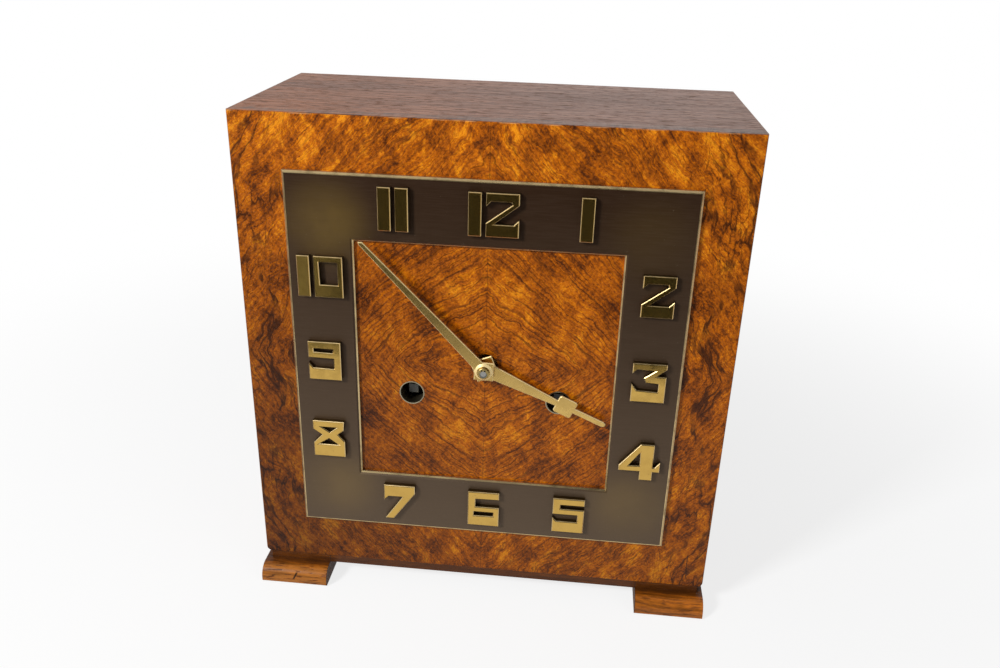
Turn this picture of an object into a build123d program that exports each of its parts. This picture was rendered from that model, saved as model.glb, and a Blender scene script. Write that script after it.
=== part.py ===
from build123d import *
from math import atan2, cos, degrees, hypot, pi, radians, sin, sqrt
import os

# A square mantel clock of the 1930s: a veneered box on two bar feet, a brass frame with applied
# numerals, open hands, and an eight-day movement that goes and strikes on two rods.
# Millimetres. X is the viewer's right, Y runs from the dial back to the rear door, Z is up.
# The origin is on the table, under the middle of the clock's bounding box.
# "depth" in a name or a call counts backwards from the veneered front. Places of the movement
# are (x, z) pairs from the axis that carries the hands.

# Case
case_width = 227.0
case_depth = 108.0
panel_height = 230.0
panel_thickness = 8.0
panel_edge_round = 0.3
panel_corner_round = 2.4
board_thickness = 9.0
base_thickness = 4.4
base_side_inset = 2.4
base_front_inset = 0.5

# Feet
foot_width = 34.3
foot_height = 8.9
foot_proud = 0.6
foot_projection = 9.1
foot_nose_radius = 6.2
foot_edge_round = 0.8

# Rear door, its hinges and its knob
door_thickness = 6.0
door_rebate = 4.5
door_gap = 0.8
hinge_height = 24.0
hinge_inset = 34.0
leaf_thickness = 1.0
leaf_width = 7.0
door_leaf_width = 11.0
knuckle_radius = 1.9
hinge_pin_radius = 0.9
hinge_clearance = 0.08
knuckle_gap = 0.2
knob_edge_distance = 12.0
knob_shaft_radius = 2.0
knob_edge_bevel = 1.2
knob_radius = 6.5
knob_neck_radius = 3.2
knob_length = 8.0

# Dial frame and numerals
frame_size = 181.0
frame_opening = 120.0
frame_thickness = 2.6
frame_outer_bevel = 0.8
frame_inner_bevel = 1.3
numeral_thickness = 2.8
numeral_bevel = 0.4
numeral_width = 15.4
numeral_height = 19.5
nought_width = 13.2
four_width = 19.3
bar_width = 5.8
bar_gap = 1.9
two_width = 14.4
numeral_ring = 75.0
numeral_rise = 0.4

# Axis of the hands and the winding holes
axis_rise = 2.0
winding_spacing = 69.6
winding_drop = 14.8
centre_hole_radius = 6.0
eyelet_bore_radius = 5.5
eyelet_wall = 0.5
eyelet_proud = 0.2

# Hands
hand_thickness = 1.0
hand_bevel = 0.3
hour_hand_height = 2.9
minute_hand_height = 5.7
minute_hand_angle = -43.6
minute_hand_length = 82.0
minute_root_width = 5.4
minute_tip_width = 1.9
minute_tip_taper = 1.4
minute_boss_size = 8.9
hour_hand_angle = 113.9
hour_hand_length = 62.7
hour_root_width = 7.4
hour_neck_width = 2.9
hour_block_start = 37.4
hour_block_length = 9.0
hour_block_width = 8.8
hour_block_corner_cut = 0.7
hour_pointer_width = 2.5
hour_boss_size = 10.6
collet_radius = 4.2
collet_crown_radius = 3.1
collet_height = 1.1
nut_radius = 2.7
nut_height = 1.1
nut_bevel = 0.3

# Pipes and arbors of the hands
centre_arbor_radius = 1.3
cannon_radius = 2.1
hour_pipe_radius = 3.2
running_clearance = 0.05

# Movement frame
plate_front_depth = 19.0
plate_thickness = 2.0
plate_spacing = 36.0
plate_half_width = 60.0
plate_rise = 62.0
plate_fall = 50.0
plate_corner_cut = 14.0
pillar_radius = 3.2
pillar_tenon_radius = 1.8
pillar_tenon_length = 3.4
pillar_half_spread = 54.0
pillar_low_drop = 36.0
pillar_high_rise = 54.0
pillar_middle_drop = 44.0
post_radius = 3.5
post_half_spread = 46.0
post_high_rise = 44.0
post_low_drop = 42.0

# Teeth: heights in modules, half widths as shares of half the pitch
wheel_addendum_share = 1.0
wheel_dedendum_share = 1.2
wheel_tip_share = 0.18
wheel_root_share = 0.50
pinion_addendum_share = 0.7
pinion_dedendum_share = 1.3
pinion_tip_share = 0.20
pinion_root_share = 0.42

# Trains: tooth counts, modules, thicknesses and places along the arbors
great_teeth = 40
great_pinion_teeth = 8
great_module = 1.1
second_teeth = 42
second_pinion_teeth = 7
second_module = 0.85
centre_teeth = 60
third_pinion_teeth = 6
centre_module = 0.6
third_teeth = 60
escape_pinion_teeth = 6
third_module = 0.52
escape_teeth = 50
escape_radius = 9.5
escape_tooth_height = 1.5
pin_teeth = 42
warning_pinion_teeth = 6
pin_module = 0.65
warning_teeth = 36
fly_pinion_teeth = 6
warning_module = 0.5
cannon_teeth = 10
minute_teeth = 30
minute_pinion_teeth = 8
hour_teeth = 32
motion_module = 0.7

arbor_radius = 1.2
pivot_radius = 0.8
thin_arbor_radius = 0.8
wheel_thickness = 1.5
thin_wheel_thickness = 0.8
pinion_overlap = 0.6
spoke_count = 4
spoke_width = 2.2
rim_width = 2.2
hub_radius = 4.0

barrel_radius = 20.0
barrel_front_depth = 25.0
barrel_length = 19.0
barrel_cap_inset = 1.6
barrel_cap_recess = 0.5
great_thickness = 2.4
going_second_depth = 48.0
strike_second_depth = 54.0
centre_wheel_depth = 51.5
third_wheel_depth = 36.0
escape_wheel_depth = 52.0
pin_wheel_depth = 50.0
warning_wheel_depth = 36.0
third_wheel_offset = 4.0
pin_wheel_direction = 170.0
warning_wheel_direction = 75.0
fly_direction = 60.0

winding_arbor_radius = 3.1
winding_square = 4.4
winding_square_length = 9.0
winding_end_depth = 4.6
winding_pivot_radius = 2.0
ratchet_teeth = 24
ratchet_radius = 10.5
ratchet_tooth_height = 1.2
ratchet_depth = 15.5
ratchet_thickness = 2.0
ratchet_plate_gap = 0.3
click_clearance = 0.25
click_pivot_distance = 15.5
click_pivot_angle = 56.0
click_hub_radius = 2.6
click_beak_width = 2.2
going_click_direction = -75.0
strike_click_direction = -105.0

# Motion work between the panel and the front plate
cannon_wheel_depth = 15.4
cannon_pinion_length = 3.0
minute_wheel_depth = 16.2
hour_wheel_depth = 11.4
motion_wheel_thickness = 1.2
minute_stud_radius = 1.0
minute_stud_depth = 10.2

# Escapement and pendulum
anchor_rise = 15.0
anchor_thickness = 2.0
anchor_half_span = 9.2
anchor_drop = 7.6
verge_hole_radius = 3.0
crutch_plate_gap = 1.2
crutch_thickness = 1.2
crutch_width = 2.4
crutch_length = 30.0
crutch_prong_width = 1.2
crutch_rod_gap = 0.12
cock_foot_half_width = 11.0
cock_foot_low = 5.0
cock_foot_height = 9.0
cock_thickness = 2.0
cock_shelf_half_width = 6.0
cock_shelf_thickness = 3.0
cock_bridge_gap = 1.0
cock_bridge_half_width = 4.0
cock_bridge_drop = 4.0
cock_spring_gap = 1.1
suspension_block_half_width = 2.8
suspension_block_length = 4.0
suspension_top_rise = 1.8
suspension_gap = 0.2
spring_thickness = 0.3
spring_width = 4.0
spring_length = 10.0
chop_half_width = 2.4
chop_height = 4.5
chop_thickness = 3.0
pendulum_floor_gap = 2.0
pendulum_rod_radius = 1.2
pendulum_thread_length = 13.0
bob_radius = 15.0
bob_thickness = 7.0
bob_rim_bevel = 1.6
rating_nut_radius = 4.0
rating_nut_height = 2.6
rating_nut_gap = 0.3

# Striking work
lift_pin_count = 8
lift_pin_circle = 10.0
lift_pin_radius = 0.8
lift_pin_sides = 8
lift_pin_length = 2.4
fly_half_width = 8.4
fly_length = 11.0
fly_thickness = 0.5
fly_depth = 38.5
hammer_arbor_x = -44.0
hammer_arbor_z = -45.0
hammer_arm_thickness = 2.4
hammer_arm_width = 2.4
hammer_hub_sides = 8
hammer_reach = 20.0
hammer_arm_fall = 4.0
hammer_head_radius = 4.5
hammer_head_height = 12.0
hammer_rest_gap = 0.8
hammer_tail_depth = 47.0
hammer_tail_thickness = 2.2
hammer_tail_gap = 0.35
rod_radius = 1.5
rod_first_depth = 34.0
rod_pitch = 12.0
rod_drop = 64.3
rod_end_gap = 21.0
rod_seat_depth = 8.0
gong_block_width = 16.0
gong_block_margin = 8.0
gong_block_top_margin = 5.0
gong_foot_width = 28.0
gong_strike_distance = 30.5
gong_foot_height = 6.0

# Working it out
knob_reach = max(knob_length, 2 * knuckle_radius)
panel_front = (foot_projection - case_depth - knob_reach) / 2
case_low = foot_height + base_thickness
case_high = case_low + panel_height
dial_middle = case_low + panel_height / 2
axis_height = dial_middle + axis_rise
half_case = case_width / 2
inner_half = half_case - board_thickness
floor_height = case_low + board_thickness
back_plate_depth = plate_front_depth + plate_thickness + plate_spacing
back_face_depth = back_plate_depth + plate_thickness
door_front_depth = case_depth - door_thickness
crutch_depth = back_face_depth + crutch_plate_gap
crutch_rear = crutch_depth + crutch_thickness
cock_bridge_front = crutch_rear + cock_bridge_gap
suspension_depth = cock_bridge_front + cock_thickness + cock_spring_gap + spring_width / 2
overrun = panel_thickness


def face(depth):
    """Plane square to Y and turned to the viewer, with its origin on the axis of the hands."""
    return Plane((0, panel_front + depth, axis_height), x_dir=(1, 0, 0), z_dir=(0, -1, 0))


def polar(radius, angle, middle=(0, 0)):
    """Point at a radius and an angle in degrees, counted from X towards Z."""
    return (middle[0] + radius * cos(radians(angle)), middle[1] + radius * sin(radians(angle)))


def heading(start, end):
    """Angle in degrees of the line from one place to another."""
    return degrees(atan2(end[1] - start[1], end[0] - start[0]))


def meeting(first, second, from_first, from_second):
    """Upper one of the two places at given distances from two others."""
    apart = hypot(second[0] - first[0], second[1] - first[1])
    turn = degrees_of_corner(from_first, apart, from_second)
    way = heading(first, second)
    places = [polar(from_first, way + turn, first), polar(from_first, way - turn, first)]
    return max(places, key=lambda place: place[1])


def degrees_of_corner(beside, other, opposite):
    """Angle of a triangle between two sides, from its three sides."""
    cosine = (beside**2 + other**2 - opposite**2) / (2 * beside * other)
    return degrees(atan2(sqrt(1 - cosine**2), cosine))


def centre_distance(first_teeth, second_teeth, module):
    """Distance between the arbors of two meshing wheels."""
    return (first_teeth + second_teeth) * module / 2


def trapezium_teeth(teeth, module, lead, pinion=False):
    """Outline of a toothed wheel. A wheel has a tooth at the lead angle, a pinion a space."""
    addendum, dedendum = wheel_addendum_share, wheel_dedendum_share
    tip, root = wheel_tip_share, wheel_root_share
    if pinion:
        addendum, dedendum = pinion_addendum_share, pinion_dedendum_share
        tip, root = pinion_tip_share, pinion_root_share
        lead = lead + 180 / teeth
    pitch_radius = teeth * module / 2
    outer = pitch_radius + addendum * module
    inner = pitch_radius - dedendum * module
    half_pitch = 180 / teeth
    points = []
    for tooth in range(teeth):
        middle = lead + 2 * half_pitch * tooth
        points.append(polar(inner, middle - root * half_pitch))
        points.append(polar(outer, middle - tip * half_pitch))
        points.append(polar(outer, middle + tip * half_pitch))
        points.append(polar(inner, middle + root * half_pitch))
    return points


def saw_teeth(teeth, radius, height, lead):
    """Outline of a wheel with one steep flank a tooth, the flank facing clockwise at the lead."""
    points = []
    for tooth in range(teeth):
        angle = lead - 360 / teeth * tooth
        points.append(polar(radius - height, angle))
        points.append(polar(radius, angle))
    return points


def add_disc(place, radius, front, rear, mode=Mode.ADD):
    """Round solid along Y between two depths, in the part being built."""
    with BuildSketch(face(rear)) as round_face:
        with Locations(place):
            Circle(radius)
    extrude(round_face.sketch, amount=rear - front, mode=mode)


def add_prism(place, radius, sides, front, rear):
    """Many-sided solid along Y, for small round pieces that repeat."""
    with BuildSketch(face(rear)) as flat_sided_face:
        with Locations(place):
            RegularPolygon(radius, sides)
    extrude(flat_sided_face.sketch, amount=rear - front)


def add_outline(points, front, rear, place=(0, 0), mode=Mode.ADD):
    """Straight-sided solid along Y between two depths, in the part being built."""
    moved = [(across + place[0], up + place[1]) for across, up in points]
    with BuildSketch(face(rear)) as outline_face:
        with BuildLine():
            Polyline(*moved, close=True)
        make_face()
    extrude(outline_face.sketch, amount=rear - front, mode=mode)


def cross_out(place, rim_radius, front, rear, lead=0.0):
    """Cut the windows between the spokes of a wheel in the part being built."""
    outer = rim_radius - rim_width
    for spoke in range(spoke_count):
        middle = lead + 360 / spoke_count * (spoke + 0.5)
        outer_half = 180 / spoke_count - degrees(atan2(spoke_width / 2, outer))
        inner_half_angle = 180 / spoke_count - degrees(atan2(spoke_width / 2, hub_radius))
        window = [
            polar(hub_radius, middle - inner_half_angle),
            polar(outer, middle - outer_half),
            polar(outer, middle - outer_half / 3),
            polar(outer, middle + outer_half / 3),
            polar(outer, middle + outer_half),
            polar(hub_radius, middle + inner_half_angle),
        ]
        add_outline(window, front, rear, place, Mode.SUBTRACT)


def add_wheel(place, teeth, module, mate, front, thickness, crossed=False):
    """Toothed wheel with a tooth on the line to the mate's arbor."""
    lead = heading(place, mate)
    add_outline(trapezium_teeth(teeth, module, lead), front, front + thickness, place)
    if crossed:
        inner = teeth * module / 2 - wheel_dedendum_share * module
        cross_out(place, inner, front, front + thickness, lead)


def add_pinion(place, teeth, module, mate, front, rear):
    """Pinion with a space between its leaves on the line to the mate's arbor."""
    add_outline(trapezium_teeth(teeth, module, heading(place, mate), pinion=True), front, rear, place)


def add_arbor(place, radius, pivot, rear_end=back_face_depth):
    """Arbor between the plates, with a thinner pivot in each of them."""
    shoulder = running_clearance
    add_disc(place, pivot, plate_front_depth, rear_end)
    add_disc(place, radius, plate_front_depth + plate_thickness + shoulder, back_plate_depth - shoulder)


def finish(builder, label):
    """Name a finished piece and write its file."""
    builder.part.label = label
    export_step(builder.part, f"parts/{label}.step")


os.makedirs("parts", exist_ok=True)

# Places of the arbors in front view
centre_place = (0, 0)
going_place = (winding_spacing / 2, -winding_drop - axis_rise)
strike_place = (-winding_spacing / 2, -winding_drop - axis_rise)
great_distance = centre_distance(great_teeth, great_pinion_teeth, great_module)
second_distance = centre_distance(second_teeth, second_pinion_teeth, second_module)
going_second_place = meeting(going_place, centre_place, great_distance, second_distance)
strike_second_place = (-going_second_place[0], going_second_place[1])
third_distance = centre_distance(centre_teeth, third_pinion_teeth, centre_module)
third_place = (third_wheel_offset, sqrt(third_distance**2 - third_wheel_offset**2))
escape_distance = centre_distance(third_teeth, escape_pinion_teeth, third_module)
escape_place = (0, third_place[1] + sqrt(escape_distance**2 - third_wheel_offset**2))
anchor_place = (0, escape_place[1] + anchor_rise)
pin_place = polar(second_distance, pin_wheel_direction, strike_second_place)
warning_distance = centre_distance(pin_teeth, warning_pinion_teeth, pin_module)
warning_place = polar(warning_distance, warning_wheel_direction, pin_place)
fly_distance = centre_distance(warning_teeth, fly_pinion_teeth, warning_module)
fly_place = polar(fly_distance, fly_direction, warning_place)
hammer_place = (hammer_arbor_x, hammer_arbor_z)
minute_wheel_place = (0, -centre_distance(cannon_teeth, minute_teeth, motion_module))

# Veneered front panel
with BuildPart() as case_front:
    with BuildSketch(face(panel_thickness)):
        with Locations((0, -axis_rise)):
            Rectangle(case_width, panel_height)
    extrude(amount=panel_thickness)
    low_corners = case_front.edges().filter_by(Axis.Y).group_by(Axis.Z)[0]
    fillet(low_corners, panel_corner_round)
    front_edges = case_front.faces().sort_by(Axis.Y)[0].outer_wire().edges()
    fillet(front_edges, panel_edge_round)
    add_disc(centre_place, centre_hole_radius, -overrun, panel_thickness + overrun, Mode.SUBTRACT)
    for place in (going_place, strike_place):
        add_disc(place, eyelet_bore_radius + eyelet_wall, -overrun, panel_thickness + overrun, Mode.SUBTRACT)
finish(case_front, "case_front")

# Top board, rebated along its rear lower edge for the door
with BuildPart() as case_top:
    with BuildSketch(Plane.XY.offset(case_high - board_thickness)):
        with Locations((0, panel_front + panel_thickness)):
            Rectangle(case_width, case_depth - panel_thickness, align=(Align.CENTER, Align.MIN))
    extrude(amount=board_thickness)
    with BuildSketch(Plane.XY.offset(case_high - board_thickness)):
        with Locations((0, panel_front + door_front_depth)):
            Rectangle(2 * inner_half, overrun, align=(Align.CENTER, Align.MIN))
    extrude(amount=door_rebate, mode=Mode.SUBTRACT)
finish(case_top, "case_top")

# Floor of the case, rebated like the top
with BuildPart() as case_bottom:
    with BuildSketch(Plane.XY.offset(case_low)):
        with Locations((0, panel_front + panel_thickness)):
            Rectangle(2 * inner_half, case_depth - panel_thickness, align=(Align.CENTER, Align.MIN))
    extrude(amount=board_thickness)
    with BuildSketch(Plane.XY.offset(floor_height)):
        with Locations((0, panel_front + door_front_depth)):
            Rectangle(2 * inner_half, overrun, align=(Align.CENTER, Align.MIN))
    extrude(amount=-door_rebate, mode=Mode.SUBTRACT)
finish(case_bottom, "case_bottom")

# The two sides stand under the top board and outside the floor
for side, label in ((-1, "case_side_left"), (1, "case_side_right")):
    with BuildPart() as case_side:
        with BuildSketch(Plane.XY.offset(case_low)):
            with Locations((side * (half_case - board_thickness / 2), panel_front + panel_thickness)):
                Rectangle(board_thickness, case_depth - panel_thickness, align=(Align.CENTER, Align.MIN))
        extrude(amount=panel_height - board_thickness)
    finish(case_side, label)

# Base board, set in from the sides under the case
with BuildPart() as base_board:
    with BuildSketch(Plane.XY.offset(foot_height)):
        with Locations((0, panel_front + base_front_inset)):
            base_width = case_width - 2 * base_side_inset
            Rectangle(base_width, case_depth - base_front_inset, align=(Align.CENTER, Align.MIN))
    extrude(amount=base_thickness)
finish(base_board, "base_board")

# Two bar feet with a rounded nose that stands out in front of the dial
foot_nose = panel_front - foot_projection
for side, label in ((-1, "foot_left"), (1, "foot_right")):
    foot_outer = side * (half_case + foot_proud)
    with BuildPart() as foot:
        with BuildSketch(Plane.YZ.offset(foot_outer)):
            with BuildLine():
                Polyline(
                    (foot_nose, foot_height - foot_nose_radius),
                    (foot_nose, 0),
                    (panel_front + case_depth, 0),
                    (panel_front + case_depth, foot_height),
                    (foot_nose + foot_nose_radius, foot_height),
                )
                RadiusArc(
                    (foot_nose + foot_nose_radius, foot_height),
                    (foot_nose, foot_height - foot_nose_radius),
                    -foot_nose_radius,
                )
            make_face()
        extrude(amount=-side * foot_width)
        chamfer(foot.edges().filter_by(Axis.X).group_by(Axis.Z)[0].sort_by(Axis.Y)[0], foot_edge_round)
    finish(foot, label)

# Rear door with a hole for its knob
door_half_width = inner_half - door_gap
knob_place = (inner_half - knob_edge_distance, 0)
door_low = floor_height - door_rebate + door_gap
door_high = case_high - board_thickness + door_rebate - door_gap
with BuildPart() as rear_door:
    with BuildSketch(Plane.XY.offset(door_low)):
        with Locations((0, panel_front + door_front_depth)):
            Rectangle(2 * door_half_width, door_thickness, align=(Align.CENTER, Align.MIN))
    extrude(amount=door_high - door_low)
    knob_bore = knob_shaft_radius + running_clearance
    add_disc(knob_place, knob_bore, door_front_depth - overrun, case_depth + overrun, Mode.SUBTRACT)
finish(rear_door, "rear_door")

# Butt hinges on the back: the case leaf has the outer knuckles and the riveted pin
hinge_x = -inner_half + door_gap / 2
hinge_y = panel_front + case_depth + knuckle_radius
hinge_lows = (
    floor_height + hinge_inset - hinge_height / 2,
    case_high - board_thickness - hinge_inset - hinge_height / 2,
)
knuckle_length = (hinge_height - 2 * knuckle_gap) / 3
with BuildPart() as hinge_case_leaves:
    for low in hinge_lows:
        with BuildSketch(Plane.XY.offset(low)):
            with Locations((hinge_x, hinge_y - knuckle_radius)):
                Rectangle(leaf_width, leaf_thickness, align=(Align.MAX, Align.MIN))
        extrude(amount=hinge_height)
        with BuildSketch(Plane.XY.offset(low + knuckle_length)):
            with Locations((hinge_x, hinge_y)):
                Circle(knuckle_radius + knuckle_gap)
        extrude(amount=hinge_height - 2 * knuckle_length, mode=Mode.SUBTRACT)
        for start in (low, low + hinge_height - knuckle_length):
            with BuildSketch(Plane.XY.offset(start)):
                with Locations((hinge_x, hinge_y)):
                    Circle(knuckle_radius)
            extrude(amount=knuckle_length)
        with BuildSketch(Plane.XY.offset(low)):
            with Locations((hinge_x, hinge_y)):
                Circle(hinge_pin_radius)
        extrude(amount=hinge_height)
finish(hinge_case_leaves, "hinge_case_leaves")

with BuildPart() as hinge_door_leaves:
    for low in hinge_lows:
        with BuildSketch(Plane.XY.offset(low)):
            with Locations((hinge_x + door_gap / 2, hinge_y - knuckle_radius)):
                Rectangle(door_leaf_width, leaf_thickness, align=(Align.MIN, Align.MIN))
        extrude(amount=hinge_height)
        for start in (low, low + hinge_height - knuckle_length - knuckle_gap):
            with BuildSketch(Plane.XY.offset(start)):
                with Locations((hinge_x, hinge_y)):
                    Circle(knuckle_radius + knuckle_gap)
            extrude(amount=knuckle_length + knuckle_gap, mode=Mode.SUBTRACT)
        with BuildSketch(Plane.XY.offset(low + knuckle_length + knuckle_gap)):
            with Locations((hinge_x, hinge_y)):
                Circle(knuckle_radius)
        extrude(amount=knuckle_length)
        with BuildSketch(Plane.XY.offset(low + knuckle_length)):
            with Locations((hinge_x, hinge_y)):
                Circle(hinge_pin_radius + hinge_clearance)
        extrude(amount=hinge_height - 2 * knuckle_length, mode=Mode.SUBTRACT)
finish(hinge_door_leaves, "hinge_door_leaves")

# Turned knob with a spigot through the door
knob_neck_rear = case_depth + knob_length / 2
with BuildPart() as door_knob:
    add_disc(knob_place, knob_shaft_radius, door_front_depth, knob_neck_rear)
    add_disc(knob_place, knob_neck_radius, case_depth, knob_neck_rear)
    add_disc(knob_place, knob_radius, knob_neck_rear, case_depth + knob_length)
    chamfer(door_knob.edges().filter_by(GeomType.CIRCLE).sort_by(Axis.Y)[-1], knob_edge_bevel)
finish(door_knob, "door_knob")

# Brass dial frame with bevelled edges
with BuildPart() as dial_frame:
    with BuildSketch(face(0)):
        with Locations((0, -axis_rise)):
            Rectangle(frame_size, frame_size)
            Rectangle(frame_opening, frame_opening, mode=Mode.SUBTRACT)
    extrude(amount=frame_thickness)
    chamfer(dial_frame.faces().sort_by(Axis.Y)[0].outer_wire().edges(), frame_outer_bevel)
    chamfer(dial_frame.faces().sort_by(Axis.Y)[0].inner_wires()[0].edges(), frame_inner_bevel)
finish(dial_frame, "dial_frame")

# Numerals: outlines as shares of each figure's width and height, from its lower left corner
bar_shares = [(0, 0), (1, 0), (1, 1), (0, 1)]
figure_shares = {
    "two": [
        (0, 1), (1, 1), (1, 0.74), (0.23, 0.29), (0.84, 0.29), (1, 0.41), (1, 0),
        (0, 0), (0, 0.31), (0.79, 0.75), (0.76, 0.81), (0.15, 0.81), (0, 0.69),
    ],
    "three": [
        (0, 1), (1, 1), (1, 0.87), (0.72, 0.68), (1, 0.68), (1, 0), (0, 0), (0, 0.46), (0.16, 0.30),
        (0.79, 0.28), (0.79, 0.49), (0.41, 0.51), (0.35, 0.63), (0.67, 0.82), (0.14, 0.84), (0, 0.73),
    ],
    "four": [
        (0.50, 1), (0.83, 1), (0.83, 0.37), (0.88, 0.37), (1, 0.52), (1, 0.24), (0.83, 0.24), (0.83, 0),
        (0.52, 0), (0.52, 0.24), (0, 0.24), (0, 0.38),
    ],
    "five": [
        (0, 1), (1, 1), (1, 0.81), (0.24, 0.81), (0.24, 0.69), (1, 0.69), (1, 0), (0, 0), (0, 0.42),
        (0.13, 0.32), (0.79, 0.32), (0.79, 0.53), (0, 0.53),
    ],
    "six": [(0, 1), (1, 1), (1, 0.80), (0.24, 0.79), (0.24, 0.56), (1, 0.56), (1, 0), (0, 0)],
    "seven": [(0, 1), (1, 1), (1, 0.78), (0.30, 0), (0.03, 0), (0.60, 0.67), (0.15, 0.67), (0, 0.55)],
    "eight": [
        (0, 1), (1, 1), (0.97, 0.75), (0.79, 0.64), (1, 0.45), (1, 0), (0, 0), (0, 0.37), (0.28, 0.61),
        (0, 0.76),
    ],
    "nine": [
        (0, 1), (1, 1), (1, 0), (0, 0), (0, 0.44), (0.14, 0.31), (0.78, 0.30), (0.78, 0.57), (0, 0.58),
    ],
    "nought": bar_shares,
    "bar": bar_shares,
}
window_shares = {
    "four": [[(0.50, 0.76), (0.51, 0.40), (0.24, 0.39)]],
    "six": [[(0.19, 0.41), (0.82, 0.41), (0.82, 0.30), (0.19, 0.29)]],
    "eight": [[(0.27, 0.83), (0.76, 0.83), (0.54, 0.69)], [(0.50, 0.51), (0.18, 0.34), (0.80, 0.34)]],
    "nine": [[(0.17, 0.82), (0.77, 0.82), (0.75, 0.72), (0.17, 0.73)]],
    "nought": [[(0.18, 0.86), (0.82, 0.86), (0.82, 0.31), (0.20, 0.31)]],
}
figure_widths = {
    "two": two_width, "three": numeral_width, "four": four_width, "five": numeral_width,
    "six": numeral_width, "seven": numeral_width, "eight": numeral_width, "nine": numeral_width,
    "nought": nought_width, "bar": bar_width,
}
# Each numeral's figures from left to right, and its middle as shares of the ring's half size
numeral_figures = {
    1: ["bar"], 2: ["two"], 3: ["three"], 4: ["four"], 5: ["five"], 6: ["six"], 7: ["seven"],
    8: ["eight"], 9: ["nine"], 10: ["bar", "nought"], 11: ["bar", "bar"], 12: ["bar", "two"],
}
numeral_place_shares = {
    1: (0.57, 1.01), 2: (1.01, 0.57), 3: (1.005, 0.01), 4: (1.0, -0.55), 5: (0.575, -1.0),
    6: (0.015, -1.0), 7: (-0.545, -1.0), 8: (-1.0, -0.55), 9: (-1.0, 0.01), 10: (-1.0, 0.57),
    11: (-0.55, 1.01), 12: (0.035, 1.01),
}


def scaled(shares, width, left, low):
    """Points of a figure from its shares, its width and its lower left corner."""
    return [(left + across * width, low + up * numeral_height) for across, up in shares]


for hour, figures in numeral_figures.items():
    across_share, up_share = numeral_place_shares[hour]
    total = sum(figure_widths[name] for name in figures) + bar_gap * (len(figures) - 1)
    low = up_share * numeral_ring + numeral_rise - axis_rise - numeral_height / 2
    with BuildPart() as numeral:
        left = across_share * numeral_ring - total / 2
        for name in figures:
            width = figure_widths[name]
            back, front = -frame_thickness, -frame_thickness - numeral_thickness
            add_outline(scaled(figure_shares[name], width, left, low), front, back)
            for window in window_shares.get(name, []):
                add_outline(scaled(window, width, left, low), front, back, mode=Mode.SUBTRACT)
            left = left + width + bar_gap
        chamfer(numeral.faces().filter_by(Axis.Y).group_by(Axis.Y)[0].edges(), numeral_bevel)
    finish(numeral, f"numeral_{hour}")

# Eyelets that line the winding holes
with BuildPart() as winding_eyelets:
    for place in (going_place, strike_place):
        add_disc(place, eyelet_bore_radius + eyelet_wall, -eyelet_proud, panel_thickness)
        add_disc(place, eyelet_bore_radius, -overrun, panel_thickness + overrun, Mode.SUBTRACT)
finish(winding_eyelets, "winding_eyelets")


def along(points, angle):
    """Turn points laid out along +Z to a clockwise angle from twelve."""
    turn = radians(-angle)
    return [(x * cos(turn) - z * sin(turn), x * sin(turn) + z * cos(turn)) for x, z in points]


def boss_points(size):
    """Square boss with a corner on the line of its hand."""
    reach = size / sqrt(2)
    return [(0, reach), (reach, 0), (0, -reach), (-reach, 0)]


# Hands: flat tapered blades with bevelled edges that grow out of a corner of a square boss
with BuildPart() as minute_hand:
    minute_front = -minute_hand_height - hand_thickness
    blade = [
        (-minute_root_width / 2, 0),
        (-minute_tip_width / 2, minute_hand_length - minute_tip_taper),
        (-minute_tip_width / 4, minute_hand_length),
        (minute_tip_width / 2, minute_hand_length - minute_tip_taper),
        (minute_root_width / 2, 0),
    ]
    add_outline(along(blade, minute_hand_angle), minute_front, -minute_hand_height)
    add_outline(along(boss_points(minute_boss_size), minute_hand_angle), minute_front, -minute_hand_height)
    chamfer(minute_hand.faces().sort_by(Axis.Y)[0].outer_wire().edges(), hand_bevel)
    add_disc(centre_place, cannon_radius, minute_front, -minute_hand_height, Mode.SUBTRACT)
finish(minute_hand, "minute_hand")

with BuildPart() as hour_hand:
    hour_front = -hour_hand_height - hand_thickness
    block_end = hour_block_start + hour_block_length
    pointer_shoulder = hour_hand_length - hour_pointer_width / 2
    hour_points = [
        (-hour_root_width / 2, 0),
        (-hour_neck_width / 2, hour_block_start),
        (hour_block_corner_cut - hour_block_width / 2, hour_block_start),
        (-hour_block_width / 2, hour_block_start + hour_block_corner_cut),
        (-hour_block_width / 2, block_end - hour_block_corner_cut),
        (hour_block_corner_cut - hour_block_width / 2, block_end),
        (-hour_pointer_width / 2, block_end),
        (-hour_pointer_width / 2, pointer_shoulder),
        (-hour_pointer_width / 4, hour_hand_length),
        (hour_pointer_width / 4, hour_hand_length),
        (hour_pointer_width / 2, pointer_shoulder),
        (hour_pointer_width / 2, block_end),
        (hour_block_width / 2 - hour_block_corner_cut, block_end),
        (hour_block_width / 2, block_end - hour_block_corner_cut),
        (hour_block_width / 2, hour_block_start + hour_block_corner_cut),
        (hour_block_width / 2 - hour_block_corner_cut, hour_block_start),
        (hour_neck_width / 2, hour_block_start),
        (hour_root_width / 2, 0),
    ]
    add_outline(along(hour_points, hour_hand_angle), hour_front, -hour_hand_height)
    add_outline(along(boss_points(hour_boss_size), hour_hand_angle), hour_front, -hour_hand_height)
    chamfer(hour_hand.faces().sort_by(Axis.Y)[0].outer_wire().edges(), hand_bevel)
    add_disc(centre_place, hour_pipe_radius, hour_front, -hour_hand_height, Mode.SUBTRACT)
finish(hour_hand, "hour_hand")

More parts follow.
